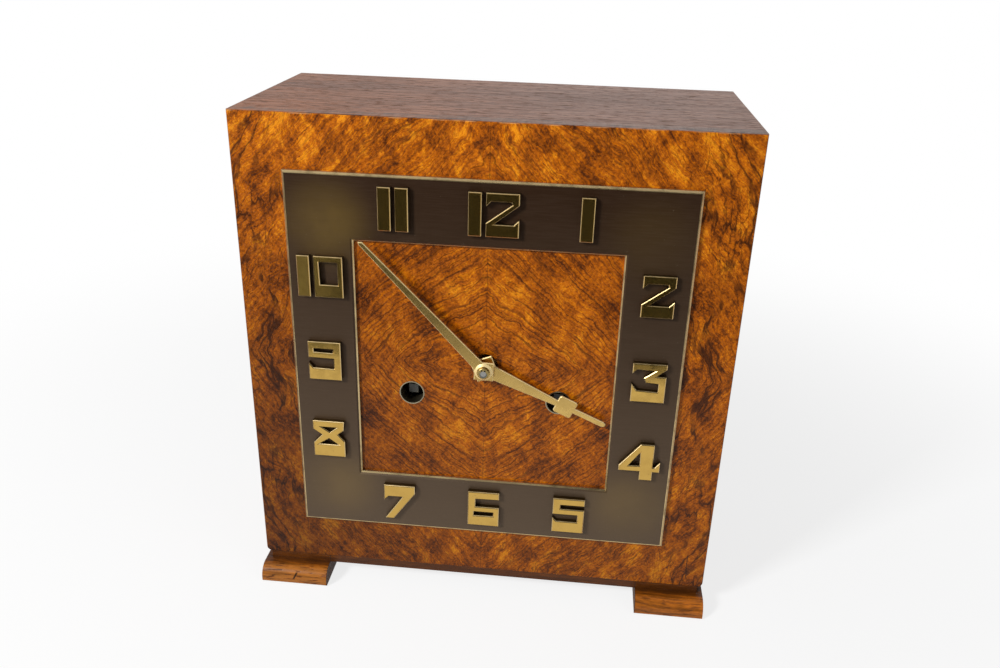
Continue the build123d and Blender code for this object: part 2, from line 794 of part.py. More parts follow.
# Domed collet and round nut that hold the minute hand
collet_back = minute_front
collet_front = collet_back - collet_height
nut_front = collet_front - nut_height
with BuildPart() as hand_collet:
    with BuildSketch(face(collet_back)):
        Circle(collet_radius)
    with BuildSketch(face(collet_front)):
        Circle(collet_crown_radius)
    loft(ruled=True)
    add_disc(centre_place, centre_arbor_radius, collet_front, collet_back, Mode.SUBTRACT)
finish(hand_collet, "hand_collet")

with BuildPart() as hand_nut:
    add_disc(centre_place, nut_radius, nut_front, collet_front)
    chamfer(hand_nut.edges().filter_by(GeomType.CIRCLE).sort_by(Axis.Y)[0], nut_bevel)
    add_disc(centre_place, centre_arbor_radius, nut_front, collet_front, Mode.SUBTRACT)
finish(hand_nut, "hand_nut")

# Cannon pinion: the pipe that carries the minute hand, with the first motion pinion
with BuildPart() as cannon_pinion:
    cannon_rear = plate_front_depth - running_clearance
    add_disc(centre_place, cannon_radius, minute_front, cannon_rear)
    add_pinion(
        centre_place, cannon_teeth, motion_module, minute_wheel_place,
        cannon_wheel_depth, cannon_wheel_depth + cannon_pinion_length,
    )
    add_disc(centre_place, centre_arbor_radius, minute_front, cannon_rear, Mode.SUBTRACT)
finish(cannon_pinion, "cannon_pinion")

with BuildPart() as hour_wheel:
    hour_wheel_rear = hour_wheel_depth + motion_wheel_thickness
    add_wheel(
        centre_place, hour_teeth, motion_module, minute_wheel_place, hour_wheel_depth, motion_wheel_thickness
    )
    add_disc(centre_place, hour_pipe_radius, hour_front, hour_wheel_rear)
    add_disc(centre_place, cannon_radius + running_clearance, hour_front, hour_wheel_rear, Mode.SUBTRACT)
finish(hour_wheel, "hour_wheel")

with BuildPart() as minute_wheel:
    minute_wheel_rear = minute_wheel_depth + motion_wheel_thickness
    add_wheel(
        minute_wheel_place, minute_teeth, motion_module, centre_place,
        minute_wheel_depth, motion_wheel_thickness,
    )
    add_pinion(
        minute_wheel_place, minute_pinion_teeth, motion_module, centre_place,
        hour_wheel_depth - pinion_overlap, minute_wheel_depth,
    )
    stud_bore = minute_stud_radius + running_clearance
    add_disc(minute_wheel_place, stud_bore, hour_wheel_depth - overrun, minute_wheel_rear, Mode.SUBTRACT)
finish(minute_wheel, "minute_wheel")

# Movement plates with their pivot holes
pillar_places = [
    (-pillar_half_spread, -pillar_low_drop), (pillar_half_spread, -pillar_low_drop),
    (-pillar_half_spread, pillar_high_rise - plate_corner_cut / 2),
    (pillar_half_spread, pillar_high_rise - plate_corner_cut / 2), (0, -pillar_middle_drop),
]
post_places = [
    (side * post_half_spread, height) for side in (-1, 1) for height in (-post_low_drop, post_high_rise)
]
pivot_places = [
    going_second_place, strike_second_place, third_place, escape_place, pin_place, warning_place,
    fly_place, hammer_place,
]
plate_points = [
    (-plate_half_width, -plate_fall), (plate_half_width, -plate_fall),
    (plate_half_width, plate_rise - plate_corner_cut), (plate_half_width - plate_corner_cut, plate_rise),
    (plate_corner_cut - plate_half_width, plate_rise), (-plate_half_width, plate_rise - plate_corner_cut),
]


def add_plate(front):
    """Movement plate with the holes that both plates share, in the part being built."""
    rear = front + plate_thickness
    add_outline(plate_points, front, rear)
    with BuildSketch(face(rear)) as holes:
        with Locations(*pivot_places):
            Circle(pivot_radius + running_clearance)
        with Locations(centre_place):
            Circle(centre_arbor_radius + running_clearance)
    extrude(holes.sketch, amount=plate_thickness, mode=Mode.SUBTRACT)


with BuildPart() as front_plate:
    add_plate(plate_front_depth)
    plate_rear = plate_front_depth + plate_thickness
    add_disc(anchor_place, pivot_radius + running_clearance, plate_front_depth, plate_rear, Mode.SUBTRACT)
    for place in (going_place, strike_place):
        arbor_hole = winding_arbor_radius + running_clearance
        add_disc(place, arbor_hole, plate_front_depth, plate_rear, Mode.SUBTRACT)
    add_disc(minute_wheel_place, minute_stud_radius, minute_stud_depth, plate_front_depth)
finish(front_plate, "front_plate")

with BuildPart() as back_plate:
    add_plate(back_plate_depth)
    add_disc(anchor_place, verge_hole_radius, back_plate_depth, back_face_depth, Mode.SUBTRACT)
    for place in pillar_places:
        tenon_hole = pillar_tenon_radius + running_clearance
        add_disc(place, tenon_hole, back_plate_depth, back_face_depth, Mode.SUBTRACT)
    for place in (going_place, strike_place):
        arbor_hole = winding_pivot_radius + running_clearance
        add_disc(place, arbor_hole, back_plate_depth, back_face_depth, Mode.SUBTRACT)
finish(back_plate, "back_plate")

# Pillars riveted to the front plate, with a tenon through the back plate for a nut
with BuildPart() as plate_pillars:
    for place in pillar_places:
        add_disc(place, pillar_radius, plate_front_depth + plate_thickness, back_plate_depth)
        add_disc(place, pillar_tenon_radius, back_plate_depth, back_plate_depth + pillar_tenon_length)
finish(plate_pillars, "plate_pillars")

# Posts that carry the movement on the back of the panel
with BuildPart() as movement_posts:
    for place in post_places:
        add_disc(place, post_radius, panel_thickness, plate_front_depth)
finish(movement_posts, "movement_posts")

# Spring barrels with their great wheels, alike for going and striking
great_front = barrel_front_depth + barrel_length
for place, mate, label in (
    (going_place, going_second_place, "going_barrel"), (strike_place, strike_second_place, "strike_barrel")
):
    with BuildPart() as barrel:
        great_rear = great_front + great_thickness
        add_wheel(place, great_teeth, great_module, mate, great_front, great_thickness)
        add_disc(place, barrel_radius, barrel_front_depth, great_front)
        cap_rear = barrel_front_depth + barrel_cap_recess
        add_disc(place, barrel_radius - barrel_cap_inset, barrel_front_depth, cap_rear, Mode.SUBTRACT)
        bore = winding_arbor_radius + running_clearance
        add_disc(place, bore, barrel_front_depth, great_rear, Mode.SUBTRACT)
    finish(barrel, label)

# Winding arbors with their squares and ratchet wheels
ratchet_rear = ratchet_depth + ratchet_thickness
for place, direction, label in (
    (going_place, going_click_direction, "going_arbor"),
    (strike_place, strike_click_direction, "strike_arbor"),
):
    with BuildPart() as winding_arbor:
        square_rear = winding_end_depth + winding_square_length
        with BuildSketch(face(square_rear)):
            with Locations(place):
                Rectangle(winding_square, winding_square)
        extrude(amount=winding_square_length)
        add_disc(place, winding_arbor_radius, square_rear, back_plate_depth - running_clearance)
        add_disc(place, winding_pivot_radius, square_rear, back_face_depth)
        ratchet_outline = saw_teeth(ratchet_teeth, ratchet_radius, ratchet_tooth_height, direction)
        add_outline(ratchet_outline, ratchet_depth, ratchet_rear, place)
    finish(winding_arbor, label)

# Clicks: a beak in the ratchet's teeth, turning on a screw in the front plate
ratchet_pitch = 360 / ratchet_teeth
for place, direction, label in (
    (going_place, going_click_direction, "going_click"),
    (strike_place, strike_click_direction, "strike_click"),
):
    pivot = polar(click_pivot_distance, direction + click_pivot_angle, place)
    root_radius = ratchet_radius - ratchet_tooth_height
    beak_angle = degrees(click_clearance / ratchet_radius)
    with BuildPart() as click:
        beak = [
            polar(root_radius + 2 * click_clearance, direction + beak_angle),
            polar(ratchet_radius + click_beak_width, direction + beak_angle),
            polar(click_pivot_distance + click_hub_radius / 2, direction + click_pivot_angle),
            polar(click_pivot_distance - click_hub_radius / 2, direction + click_pivot_angle),
            polar(ratchet_radius + 2 * click_clearance, direction + ratchet_pitch),
        ]
        add_outline(beak, ratchet_depth, ratchet_rear, place)
        add_disc(pivot, click_hub_radius, ratchet_depth, plate_front_depth - ratchet_plate_gap)
    finish(click, label)

# Going train from the barrel to the escape wheel
with BuildPart() as going_second_wheel:
    add_wheel(
        going_second_place, second_teeth, second_module, centre_place,
        going_second_depth, wheel_thickness, True,
    )
    add_pinion(
        going_second_place, great_pinion_teeth, great_module, going_place,
        great_front - pinion_overlap, going_second_depth,
    )
    add_arbor(going_second_place, arbor_radius, pivot_radius)
finish(going_second_wheel, "going_second_wheel")

with BuildPart() as centre_wheel:
    add_wheel(
        centre_place, centre_teeth, centre_module, third_place, centre_wheel_depth, wheel_thickness, True
    )
    add_pinion(
        centre_place, second_pinion_teeth, second_module, going_second_place,
        going_second_depth - pinion_overlap, centre_wheel_depth,
    )
    add_disc(centre_place, centre_arbor_radius, nut_front, back_face_depth)
finish(centre_wheel, "centre_wheel")

with BuildPart() as third_wheel:
    add_wheel(
        third_place, third_teeth, third_module, escape_place, third_wheel_depth, thin_wheel_thickness, True
    )
    add_pinion(
        third_place, third_pinion_teeth, centre_module, centre_place,
        centre_wheel_depth - pinion_overlap, centre_wheel_depth + wheel_thickness + pinion_overlap,
    )
    add_arbor(third_place, thin_arbor_radius, pivot_radius)
finish(third_wheel, "third_wheel")

with BuildPart() as escape_wheel:
    escape_rear = escape_wheel_depth + thin_wheel_thickness
    escape_outline = saw_teeth(escape_teeth, escape_radius, escape_tooth_height, 90.0)
    add_outline(escape_outline, escape_wheel_depth, escape_rear, escape_place)
    cross_out(escape_place, escape_radius - escape_tooth_height, escape_wheel_depth, escape_rear)
    add_pinion(
        escape_place, escape_pinion_teeth, third_module, third_place,
        third_wheel_depth - pinion_overlap, third_wheel_depth + thin_wheel_thickness + pinion_overlap,
    )
    add_arbor(escape_place, thin_arbor_radius, pivot_radius)
finish(escape_wheel, "escape_wheel")

# Anchor with its arbor and the crutch that holds the pendulum rod
anchor_shares = [
    (-0.79, -1.0), (-1.0, -0.87), (-0.93, -0.26), (-0.33, 0.29), (0.33, 0.29), (0.93, -0.26), (1.0, -0.87),
    (0.79, -1.0), (0.72, -0.47), (0.24, -0.21), (-0.24, -0.21), (-0.72, -0.47),
]
fork_rear = suspension_depth + pendulum_rod_radius + crutch_prong_width
with BuildPart() as anchor:
    anchor_points = [(across * anchor_half_span, up * anchor_drop) for across, up in anchor_shares]
    anchor_front = escape_wheel_depth + (thin_wheel_thickness - anchor_thickness) / 2
    add_outline(anchor_points, anchor_front, anchor_front + anchor_thickness, anchor_place)
    arbor_front = plate_front_depth + plate_thickness + running_clearance
    add_disc(anchor_place, pivot_radius, plate_front_depth, cock_bridge_front + cock_thickness)
    add_disc(anchor_place, arbor_radius, arbor_front, crutch_rear)
    crutch = [
        (-crutch_width / 2, 0), (crutch_width / 2, 0),
        (crutch_width / 2, -crutch_length), (-crutch_width / 2, -crutch_length),
    ]
    add_outline(crutch, crutch_depth, crutch_rear, anchor_place)
    prong_inner = pendulum_rod_radius + crutch_rod_gap
    prong_outer = prong_inner + crutch_prong_width
    bridge = [
        (-prong_outer, -crutch_length), (prong_outer, -crutch_length),
        (prong_outer, -crutch_length - crutch_width), (-prong_outer, -crutch_length - crutch_width),
    ]
    add_outline(bridge, crutch_depth, crutch_rear, anchor_place)
    for side in (-1, 1):
        prong_low = -crutch_length - crutch_width
        prong = [
            (side * prong_inner, -crutch_length), (side * prong_outer, -crutch_length),
            (side * prong_outer, prong_low), (side * prong_inner, prong_low),
        ]
        add_outline(prong, crutch_depth, fork_rear, anchor_place)
finish(anchor, "anchor")

# Cock behind the back plate: rear bearing of the anchor and hanger of the pendulum
anchor_height = axis_height + anchor_place[1]
shelf_low = anchor_height + cock_foot_low
shelf_rear = suspension_depth + spring_width / 2 + cock_thickness
suspension_top = anchor_height + suspension_top_rise
with BuildPart() as pendulum_cock:
    with BuildSketch(Plane.XY.offset(shelf_low)):
        with Locations((0, panel_front + back_face_depth)):
            Rectangle(2 * cock_foot_half_width, cock_thickness, align=(Align.CENTER, Align.MIN))
    extrude(amount=cock_foot_height)
    with BuildSketch(Plane.XY.offset(shelf_low)):
        with Locations((0, panel_front + back_face_depth)):
            Rectangle(
                2 * cock_shelf_half_width, shelf_rear - back_face_depth, align=(Align.CENTER, Align.MIN)
            )
    extrude(amount=cock_shelf_thickness)
    with BuildSketch(Plane.XY.offset(anchor_height - cock_bridge_drop)):
        with Locations((0, panel_front + cock_bridge_front)):
            Rectangle(2 * cock_bridge_half_width, cock_thickness, align=(Align.CENTER, Align.MIN))
    extrude(amount=cock_bridge_drop + cock_foot_low)
    with BuildSketch(Plane.XY.offset(suspension_top)):
        with Locations((0, panel_front + suspension_depth)):
            Rectangle(2 * suspension_block_half_width, suspension_block_length)
    extrude(amount=shelf_low - suspension_top)
    cock_bore = pivot_radius + running_clearance
    bridge_rear = cock_bridge_front + cock_thickness
    add_disc(anchor_place, cock_bore, cock_bridge_front, bridge_rear, Mode.SUBTRACT)
finish(pendulum_cock, "pendulum_cock")

# Suspension spring with its lower chop
spring_high = suspension_top - suspension_gap
spring_low = spring_high - spring_length
with BuildPart() as suspension_spring:
    with BuildSketch(Plane.XY.offset(spring_low)):
        with Locations((0, panel_front + suspension_depth)):
            Rectangle(spring_thickness, spring_width)
    extrude(amount=spring_length)
    with BuildSketch(Plane.XY.offset(spring_low - chop_height)):
        with Locations((0, panel_front + suspension_depth)):
            Rectangle(2 * chop_half_width, chop_thickness)
    extrude(amount=chop_height)
finish(suspension_spring, "suspension_spring")

# Pendulum: rod, turned bob with bevelled rims, and rating nut
bob_height = floor_height + pendulum_floor_gap + pendulum_thread_length + bob_radius
rod_high = spring_low - chop_height
rod_low = bob_height - bob_radius - pendulum_thread_length
with BuildPart() as pendulum_rod:
    with BuildSketch(Plane.XY.offset(rod_low)):
        with Locations((0, panel_front + suspension_depth)):
            Circle(pendulum_rod_radius)
    extrude(amount=rod_high - rod_low)
finish(pendulum_rod, "pendulum_rod")

bob_middle = (0, panel_front + suspension_depth, bob_height)
with BuildPart() as pendulum_bob:
    with BuildSketch(Plane(bob_middle, x_dir=(1, 0, 0), z_dir=(0, -1, 0))):
        Circle(bob_radius)
    extrude(amount=bob_thickness / 2, both=True)
    chamfer(pendulum_bob.edges().filter_by(GeomType.CIRCLE), bob_rim_bevel)
    with BuildSketch(Plane.XY.offset(bob_height - bob_radius - overrun)):
        with Locations((0, panel_front + suspension_depth)):
            Circle(pendulum_rod_radius + running_clearance)
    extrude(amount=2 * bob_radius + 2 * overrun, mode=Mode.SUBTRACT)
finish(pendulum_bob, "pendulum_bob")

with BuildPart() as rating_nut:
    rating_nut_low = bob_height - bob_radius - rating_nut_gap - rating_nut_height
    with BuildSketch(Plane.XY.offset(rating_nut_low)):
        with Locations((0, panel_front + suspension_depth)):
            Circle(rating_nut_radius)
            Circle(pendulum_rod_radius + running_clearance, mode=Mode.SUBTRACT)
    extrude(amount=rating_nut_height)
finish(rating_nut, "rating_nut")

# Striking train from the barrel to the fly
with BuildPart() as strike_second_wheel:
    add_wheel(
        strike_second_place, second_teeth, second_module, pin_place,
        strike_second_depth, wheel_thickness, True,
    )
    add_pinion(
        strike_second_place, great_pinion_teeth, great_module, strike_place,
        great_front - pinion_overlap, great_rear + pinion_overlap,
    )
    add_arbor(strike_second_place, arbor_radius, pivot_radius)
finish(strike_second_wheel, "strike_second_wheel")

with BuildPart() as pin_wheel:
    add_wheel(pin_place, pin_teeth, pin_module, warning_place, pin_wheel_depth, wheel_thickness)
    add_pinion(
        pin_place, second_pinion_teeth, second_module, strike_second_place,
        strike_second_depth - pinion_overlap, strike_second_depth + wheel_thickness + pinion_overlap,
    )
    add_arbor(pin_place, arbor_radius, pivot_radius)
    for pin in range(lift_pin_count):
        pin_spot = polar(lift_pin_circle, 360 / lift_pin_count * pin, pin_place)
        pin_front = pin_wheel_depth - lift_pin_length
        add_prism(pin_spot, lift_pin_radius, lift_pin_sides, pin_front, pin_wheel_depth)
finish(pin_wheel, "pin_wheel")

with BuildPart() as warning_wheel:
    add_wheel(
        warning_place, warning_teeth, warning_module, fly_place, warning_wheel_depth, thin_wheel_thickness
    )
    add_pinion(
        warning_place, warning_pinion_teeth, pin_module, pin_place,
        pin_wheel_depth - pinion_overlap, pin_wheel_depth + wheel_thickness + pinion_overlap,
    )
    add_arbor(warning_place, thin_arbor_radius, pivot_radius)
finish(warning_wheel, "warning_wheel")

with BuildPart() as fly:
    add_pinion(
        fly_place, fly_pinion_teeth, warning_module, warning_place,
        warning_wheel_depth - pinion_overlap, warning_wheel_depth + thin_wheel_thickness + pinion_overlap,
    )
    vane = [
        (-fly_half_width, -fly_thickness / 2), (fly_half_width, -fly_thickness / 2),
        (fly_half_width, fly_thickness / 2), (-fly_half_width, fly_thickness / 2),
    ]
    add_outline(vane, fly_depth, fly_depth + fly_length, fly_place)
    add_arbor(fly_place, thin_arbor_radius, pivot_radius)
finish(fly, "fly")

# Hammers: two arms with heads on one arbor, and the tail under the lifting pins
rod_height = axis_height - rod_drop
rod_depths = [rod_first_depth, rod_first_depth + rod_pitch]
head_low = rod_height + rod_radius + hammer_rest_gap
arm_end = (hammer_place[0] + hammer_reach, hammer_place[1] - hammer_arm_fall)
tail_end = (pin_place[0], pin_place[1] - lift_pin_circle - lift_pin_radius - hammer_tail_gap)


def bar_points(start, end, width):
    """Four corners of a straight bar between two places."""
    angle = heading(start, end)
    return [
        polar(width / 2, angle + 90, start), polar(width / 2, angle - 90, start),
        polar(width / 2, angle - 90, end), polar(width / 2, angle + 90, end),
    ]


with BuildPart() as hammer:
    add_arbor(hammer_place, arbor_radius, pivot_radius)
    for depth in rod_depths:
        front, rear = depth - hammer_arm_thickness / 2, depth + hammer_arm_thickness / 2
        add_prism(hammer_place, 2 * arbor_radius, hammer_hub_sides, front, rear)
        add_outline(bar_points(hammer_place, arm_end, hammer_arm_width), front, rear)
        with BuildSketch(Plane.XY.offset(head_low)) as head_face:
            with Locations((arm_end[0], panel_front + depth)):
                Circle(hammer_head_radius)
        extrude(head_face.sketch, amount=hammer_head_height)
    tail_rear = hammer_tail_depth + hammer_tail_thickness
    add_prism(hammer_place, 2 * arbor_radius, hammer_hub_sides, hammer_tail_depth, tail_rear)
    add_outline(bar_points(hammer_place, tail_end, hammer_arm_width), hammer_tail_depth, tail_rear)
finish(hammer, "hammer")

# Gong: two rods in a cast block that stands on the floor, left of the middle
block_front = panel_front + rod_first_depth - gong_block_margin
block_depth = rod_pitch + 2 * gong_block_margin
block_right = arm_end[0] - gong_strike_distance
block_left = block_right - gong_block_width
block_middle = block_left + gong_block_width / 2
with BuildPart() as gong_block:
    with BuildSketch(Plane.XY.offset(floor_height)):
        with Locations((block_middle, block_front)):
            Rectangle(gong_foot_width, block_depth, align=(Align.CENTER, Align.MIN))
    extrude(amount=gong_foot_height)
    with BuildSketch(Plane.XY.offset(floor_height)):
        with Locations((block_left, block_front)):
            Rectangle(gong_block_width, block_depth, align=(Align.MIN, Align.MIN))
    extrude(amount=rod_height + gong_block_top_margin - floor_height)
    with BuildSketch(Plane.YZ.offset(block_right - rod_seat_depth)):
        with Locations(*[(panel_front + depth, rod_height) for depth in rod_depths]):
            Circle(rod_radius)
    extrude(amount=rod_seat_depth, mode=Mode.SUBTRACT)
finish(gong_block, "gong_block")

with BuildPart() as gong_rods:
    with BuildSketch(Plane.YZ.offset(block_right - rod_seat_depth)):
        with Locations(*[(panel_front + depth, rod_height) for depth in rod_depths]):
            Circle(rod_radius)
    extrude(amount=inner_half - rod_end_gap - block_right + rod_seat_depth)
finish(gong_rods, "gong_rods")
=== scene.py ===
"""Dresses a square mantel clock: figured walnut, patinated bronze, polished figures and a brass movement.

Lengths are in metres and colours are linear. The clock faces -Y and stands on the floor of the frame.
"""

import math

import bmesh
import bpy
from bpy.props import FloatProperty, FloatVectorProperty, PointerProperty
from mathutils import Matrix, Vector


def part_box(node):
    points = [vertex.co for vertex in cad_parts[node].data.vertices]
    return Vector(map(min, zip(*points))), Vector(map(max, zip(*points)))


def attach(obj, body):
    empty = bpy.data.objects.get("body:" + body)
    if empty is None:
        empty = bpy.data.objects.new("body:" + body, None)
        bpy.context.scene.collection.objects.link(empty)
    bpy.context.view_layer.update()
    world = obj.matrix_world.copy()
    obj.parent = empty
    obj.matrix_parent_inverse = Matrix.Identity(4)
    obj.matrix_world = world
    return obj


bl_info = {
    "name": "Mantel clock finisher",
    "version": (1, 0, 0),
    "blender": (4, 5, 0),
    "location": "3D View > Sidebar > Clock",
    "description": "Gives a square mantel clock its woods, metals, screws and studio",
    "category": "Object",
}

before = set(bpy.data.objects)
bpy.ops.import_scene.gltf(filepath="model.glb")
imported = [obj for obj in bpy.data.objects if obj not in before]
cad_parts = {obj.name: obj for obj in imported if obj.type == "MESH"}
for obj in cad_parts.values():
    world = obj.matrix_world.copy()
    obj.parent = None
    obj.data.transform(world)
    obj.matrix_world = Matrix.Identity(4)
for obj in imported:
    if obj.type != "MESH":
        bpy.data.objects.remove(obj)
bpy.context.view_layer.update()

MM = 0.001

PANEL_LOW, PANEL_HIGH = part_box("case_front")
FACE_Y = PANEL_LOW.y
DIAL_LOW, DIAL_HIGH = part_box("dial_frame")
DIAL_MIDDLE = (DIAL_LOW.z + DIAL_HIGH.z) / 2
DIAL_HALF = (DIAL_HIGH.x - DIAL_LOW.x) / 2
WINDOW_HALF = 59.5 * MM
DIAL_BEVEL = 1.1 * MM
NUT_LOW, NUT_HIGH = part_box("hand_nut")
AXIS_Z = (NUT_LOW.z + NUT_HIGH.z) / 2

# A painted border between two finishes blurs over this length
BLUR = 0.1 * MM

# Thickness that the veneer of the top and the sides shows on the panel's edges, and its soft border
VENEER = 0.35 * MM
VENEER_BLUR = 0.15 * MM

# Across the growth lines of the burl, as shares of the rise and of the way to the side
ACROSS_RISE = 0.90
ACROSS_SIDE = 0.44

# Radius and height of the screw heads
POST_HEAD = (2.4 * MM, 0.9 * MM)
COCK_HEAD = (1.6 * MM, 0.8 * MM)
CLICK_HEAD = (1.9 * MM, 0.8 * MM)
GONG_HEAD = (1.9 * MM, 1.0 * MM)
HINGE_HEAD = (1.7 * MM, 0.6 * MM)
KNOB_HEAD = (3.0 * MM, 1.2 * MM)

# Degrees by which the slots of the first screw and of each next one are turned
FIRST_TURN = 37.0
NEXT_TURN = 53.0

# How far the steel of an arbor and its pinion reaches from the axis, in millimetres
ARBORS = {
    "going_barrel": 3.4, "strike_barrel": 3.4, "going_second_wheel": 4.0, "centre_wheel": 3.4,
    "third_wheel": 3.2, "escape_wheel": 2.6, "strike_second_wheel": 4.0, "pin_wheel": 3.4,
    "warning_wheel": 2.8, "fly": 2.4,
}

# Places of the movement's fasteners, in millimetres to the right of the hands' axis and above it
PILLARS = ((-54, -36), (54, -36), (-54, 47), (54, 47), (0, -44))
POSTS = ((-46, -42), (46, -42), (-46, 44), (46, 44))
CLICKS = ((49.46, -21.85), (-24.63, -28.50))

# Dark, middle and light of the bare wood inside the case
BARE_WOOD = ((0.14, 0.060, 0.022), (0.31, 0.155, 0.068), (0.46, 0.26, 0.125))

INK = (0.030, 0.008, 0.002)
WHITE = (1.0, 1.0, 1.0)

# Ways for a fastener to look
TURNS = {
    "back": Matrix.Rotation(math.radians(-90.0), 4, "X"),
    "front": Matrix.Rotation(math.radians(90.0), 4, "X"),
    "up": Matrix.Identity(4),
}


def scaled(colour, share):
    """A colour made lighter or darker, and held below white."""
    return tuple(min(1.0, value * share) for value in colour)


def from_axis(x, y, z):
    """A place from millimetres to the right of the hands' axis and above it."""
    return (x * MM, y, AXIS_Z + z * MM)


# Node trees

class Value:
    """An output of a node, which arithmetic carries on into Math nodes."""

    def __init__(self, it, socket):
        self.it = it
        self.socket = socket

    def __add__(self, other):
        return self.it.math("ADD", self, other)

    def __sub__(self, other):
        return self.it.math("SUBTRACT", self, other)

    def __rsub__(self, other):
        return self.it.math("SUBTRACT", other, self)

    def __mul__(self, other):
        return self.it.math("MULTIPLY", self, other)

    def __abs__(self):
        return self.it.math("ABSOLUTE", self)


class Nodes:
    """A node tree that starts empty, with short words for its nodes."""

    def __init__(self, tree):
        self.tree = tree
        tree.nodes.clear()

    def node(self, kind, inputs=None, output=0, **settings):
        """Adds a node, feeds its inputs by name or number and gives one of its outputs."""
        node = self.tree.nodes.new(kind)
        for key, value in settings.items():
            setattr(node, key, value)
        for key, value in (inputs or {}).items():
            self.feed(node.inputs[key], value)
        if node.outputs:
            return Value(self, node.outputs[output])

    def feed(self, socket, value):
        if isinstance(value, Value):
            self.tree.links.new(value.socket, socket)
        elif isinstance(value, tuple) and len(value) < len(socket.default_value):
            socket.default_value = (*value, 1.0)
        else:
            socket.default_value = value

    def math(self, kind, first, second=0.0):
        return self.node("ShaderNodeMath", {0: first, 1: second}, operation=kind)

    def larger(self, first, second):
        return self.math("MAXIMUM", first, second)

    def shifted(self, place, shift):
        return self.node("ShaderNodeVectorMath", {0: place, 1: shift}, operation="ADD")

    def distance(self, place, target):
        return self.node("ShaderNodeVectorMath", {0: place, 1: target}, "Value", operation="DISTANCE")

    def split(self, vector):
        node = self.node("ShaderNodeSeparateXYZ", {0: vector}).socket.node
        return tuple(Value(self, output) for output in node.outputs)

    def point(self, x=0.0, y=0.0, z=0.0):
        return self.node("ShaderNodeCombineXYZ", {0: x, 1: y, 2: z})

    def stretched(self, vector, scale, start=(0.0, 0.0, 0.0)):
        return self.node("ShaderNodeMapping", {"Vector": vector, "Scale": scale, "Location": start})

    def noise(self, vector, scale, detail=3.0, roughness=0.5, distortion=0.0):
        return self.node("ShaderNodeTexNoise", {
            "Vector": vector, "Scale": scale, "Detail": detail, "Roughness": roughness,
            "Distortion": distortion}, "Fac")

    def range(self, value, low, high, start=0.0, end=1.0, smooth=True):
        """Goes from start to end as the value goes from low to high."""
        return self.node("ShaderNodeMapRange", {0: value, 1: low, 2: high, 3: start, 4: end},
                         interpolation_type="SMOOTHSTEP" if smooth else "LINEAR")

    def fall(self, value, low, high):
        """Goes from 1 to 0 as the value goes from low to high."""
        return self.range(value, low, high, 1.0, 0.0)

    def past(self, value, border, blur=BLUR):
        """1 where the value lies past a border, else 0."""
        return self.range(value, border, border + blur, smooth=False)

    def before(self, value, border, blur=BLUR):
        """1 where the value stays short of a border, else 0."""
        return self.range(value, border, border + blur, 1.0, 0.0, smooth=False)

    def ramp(self, value, *stops):
        output = self.node("ShaderNodeValToRGB", {0: value})
        band = output.socket.node.color_ramp
        while len(band.elements) < len(stops):
            band.elements.new(0.5)
        for element, (position, colour) in zip(band.elements, stops):
            element.position = position
            element.color = (*colour, 1.0)
        return output

    def mix(self, share, first, second, kind="MIX"):
        return self.node("ShaderNodeMix", {0: share, 6: first, 7: second}, 2,
                         data_type="RGBA", blend_type=kind)

    def blend(self, share, first, second):
        return self.node("ShaderNodeMixShader", {0: share, 1: first, 2: second})

    def bump(self, height, strength, distance):
        return self.node("ShaderNodeBump", {"Height": height, "Strength": strength, "Distance": distance})

    def seen_directly(self):
        """Rays from the camera, and those that metal or glass sends on."""
        rays = [self.node("ShaderNodeLightPath", output=f"Is {kind} Ray")
                for kind in ("Camera", "Glossy", "Transmission")]
        return self.larger(self.larger(rays[0], rays[1]), rays[2])


class Finish(Nodes):
    """A material under construction, whose patterns lie on Object coordinates."""

    SOCKETS = {"colour": "Base Color", "roughness": "Roughness", "metallic": "Metallic", "normal": "Normal",
               "specular": "Specular IOR Level"}

    def __init__(self, name):
        self.material = bpy.data.materials.new(name)
        self.material.use_nodes = True
        super().__init__(self.material.node_tree)
        self.place = self.node("ShaderNodeTexCoord", output="Object")

    def close(self, shader):
        """Ends the tree in a shader."""
        self.node("ShaderNodeOutputMaterial", {"Surface": shader})
        return self.material

    def set(self, **values):
        """Ends the tree in a Principled shader with these values."""
        inputs = {self.SOCKETS[word]: value for word, value in values.items()}
        return self.close(self.node("ShaderNodeBsdfPrincipled", inputs))


# Woods

def grain(it, tones, along, start=0.0, fleck=0.55):
    """Straight grain along one axis: its colour and its relief."""
    dark, middle, light = tones

    def drawn_out(share):
        return tuple(share if axis == along else 1.0 for axis in "XYZ")

    sway = (it.noise(it.place, 14.0) - 0.5) * (6.0 * MM)
    moved = it.shifted(it.place, it.point(sway, sway, sway))
    away = (start, start, start)
    fibres = it.noise(it.stretched(moved, drawn_out(0.06), away), 420.0, 5.0, 0.65)
    bands = it.noise(it.stretched(moved, drawn_out(0.06), (start, 0.0, start)), 60.0)
    cloud = it.noise(it.place, 22.0, 2.0)
    pores = it.range(it.noise(it.stretched(moved, drawn_out(0.16)), 1000.0, 2.0), 0.56, 0.66)
    ticks = it.noise(it.stretched(moved, drawn_out(0.20), away), 540.0, 3.0, 0.6)
    tone = fibres * 0.38 + bands * 0.20 + cloud * 0.12 + ticks * 0.30
    colour = it.ramp(tone, (0.38, dark), (0.50, middle), (0.61, light))
    colour = it.mix(pores * fleck, colour, scaled(dark, 0.25))
    colour = it.mix(it.range(ticks, 0.58, 0.68) * fleck, colour, scaled(dark, 0.5))
    return colour, fibres - pores * 0.8


def polish(it, relief, dull, bright):
    """Roughness of polished wood, which stays dull in its pores."""
    return it.range(relief, -0.2, 0.7, dull, bright)


def wood(it, colour, relief, rough, specular):
    """Ends a wood with the relief of its fibres and pores."""
    normal = it.bump(relief, 0.30, 0.3 * MM)
    return it.set(colour=colour, roughness=rough, normal=normal, specular=specular)


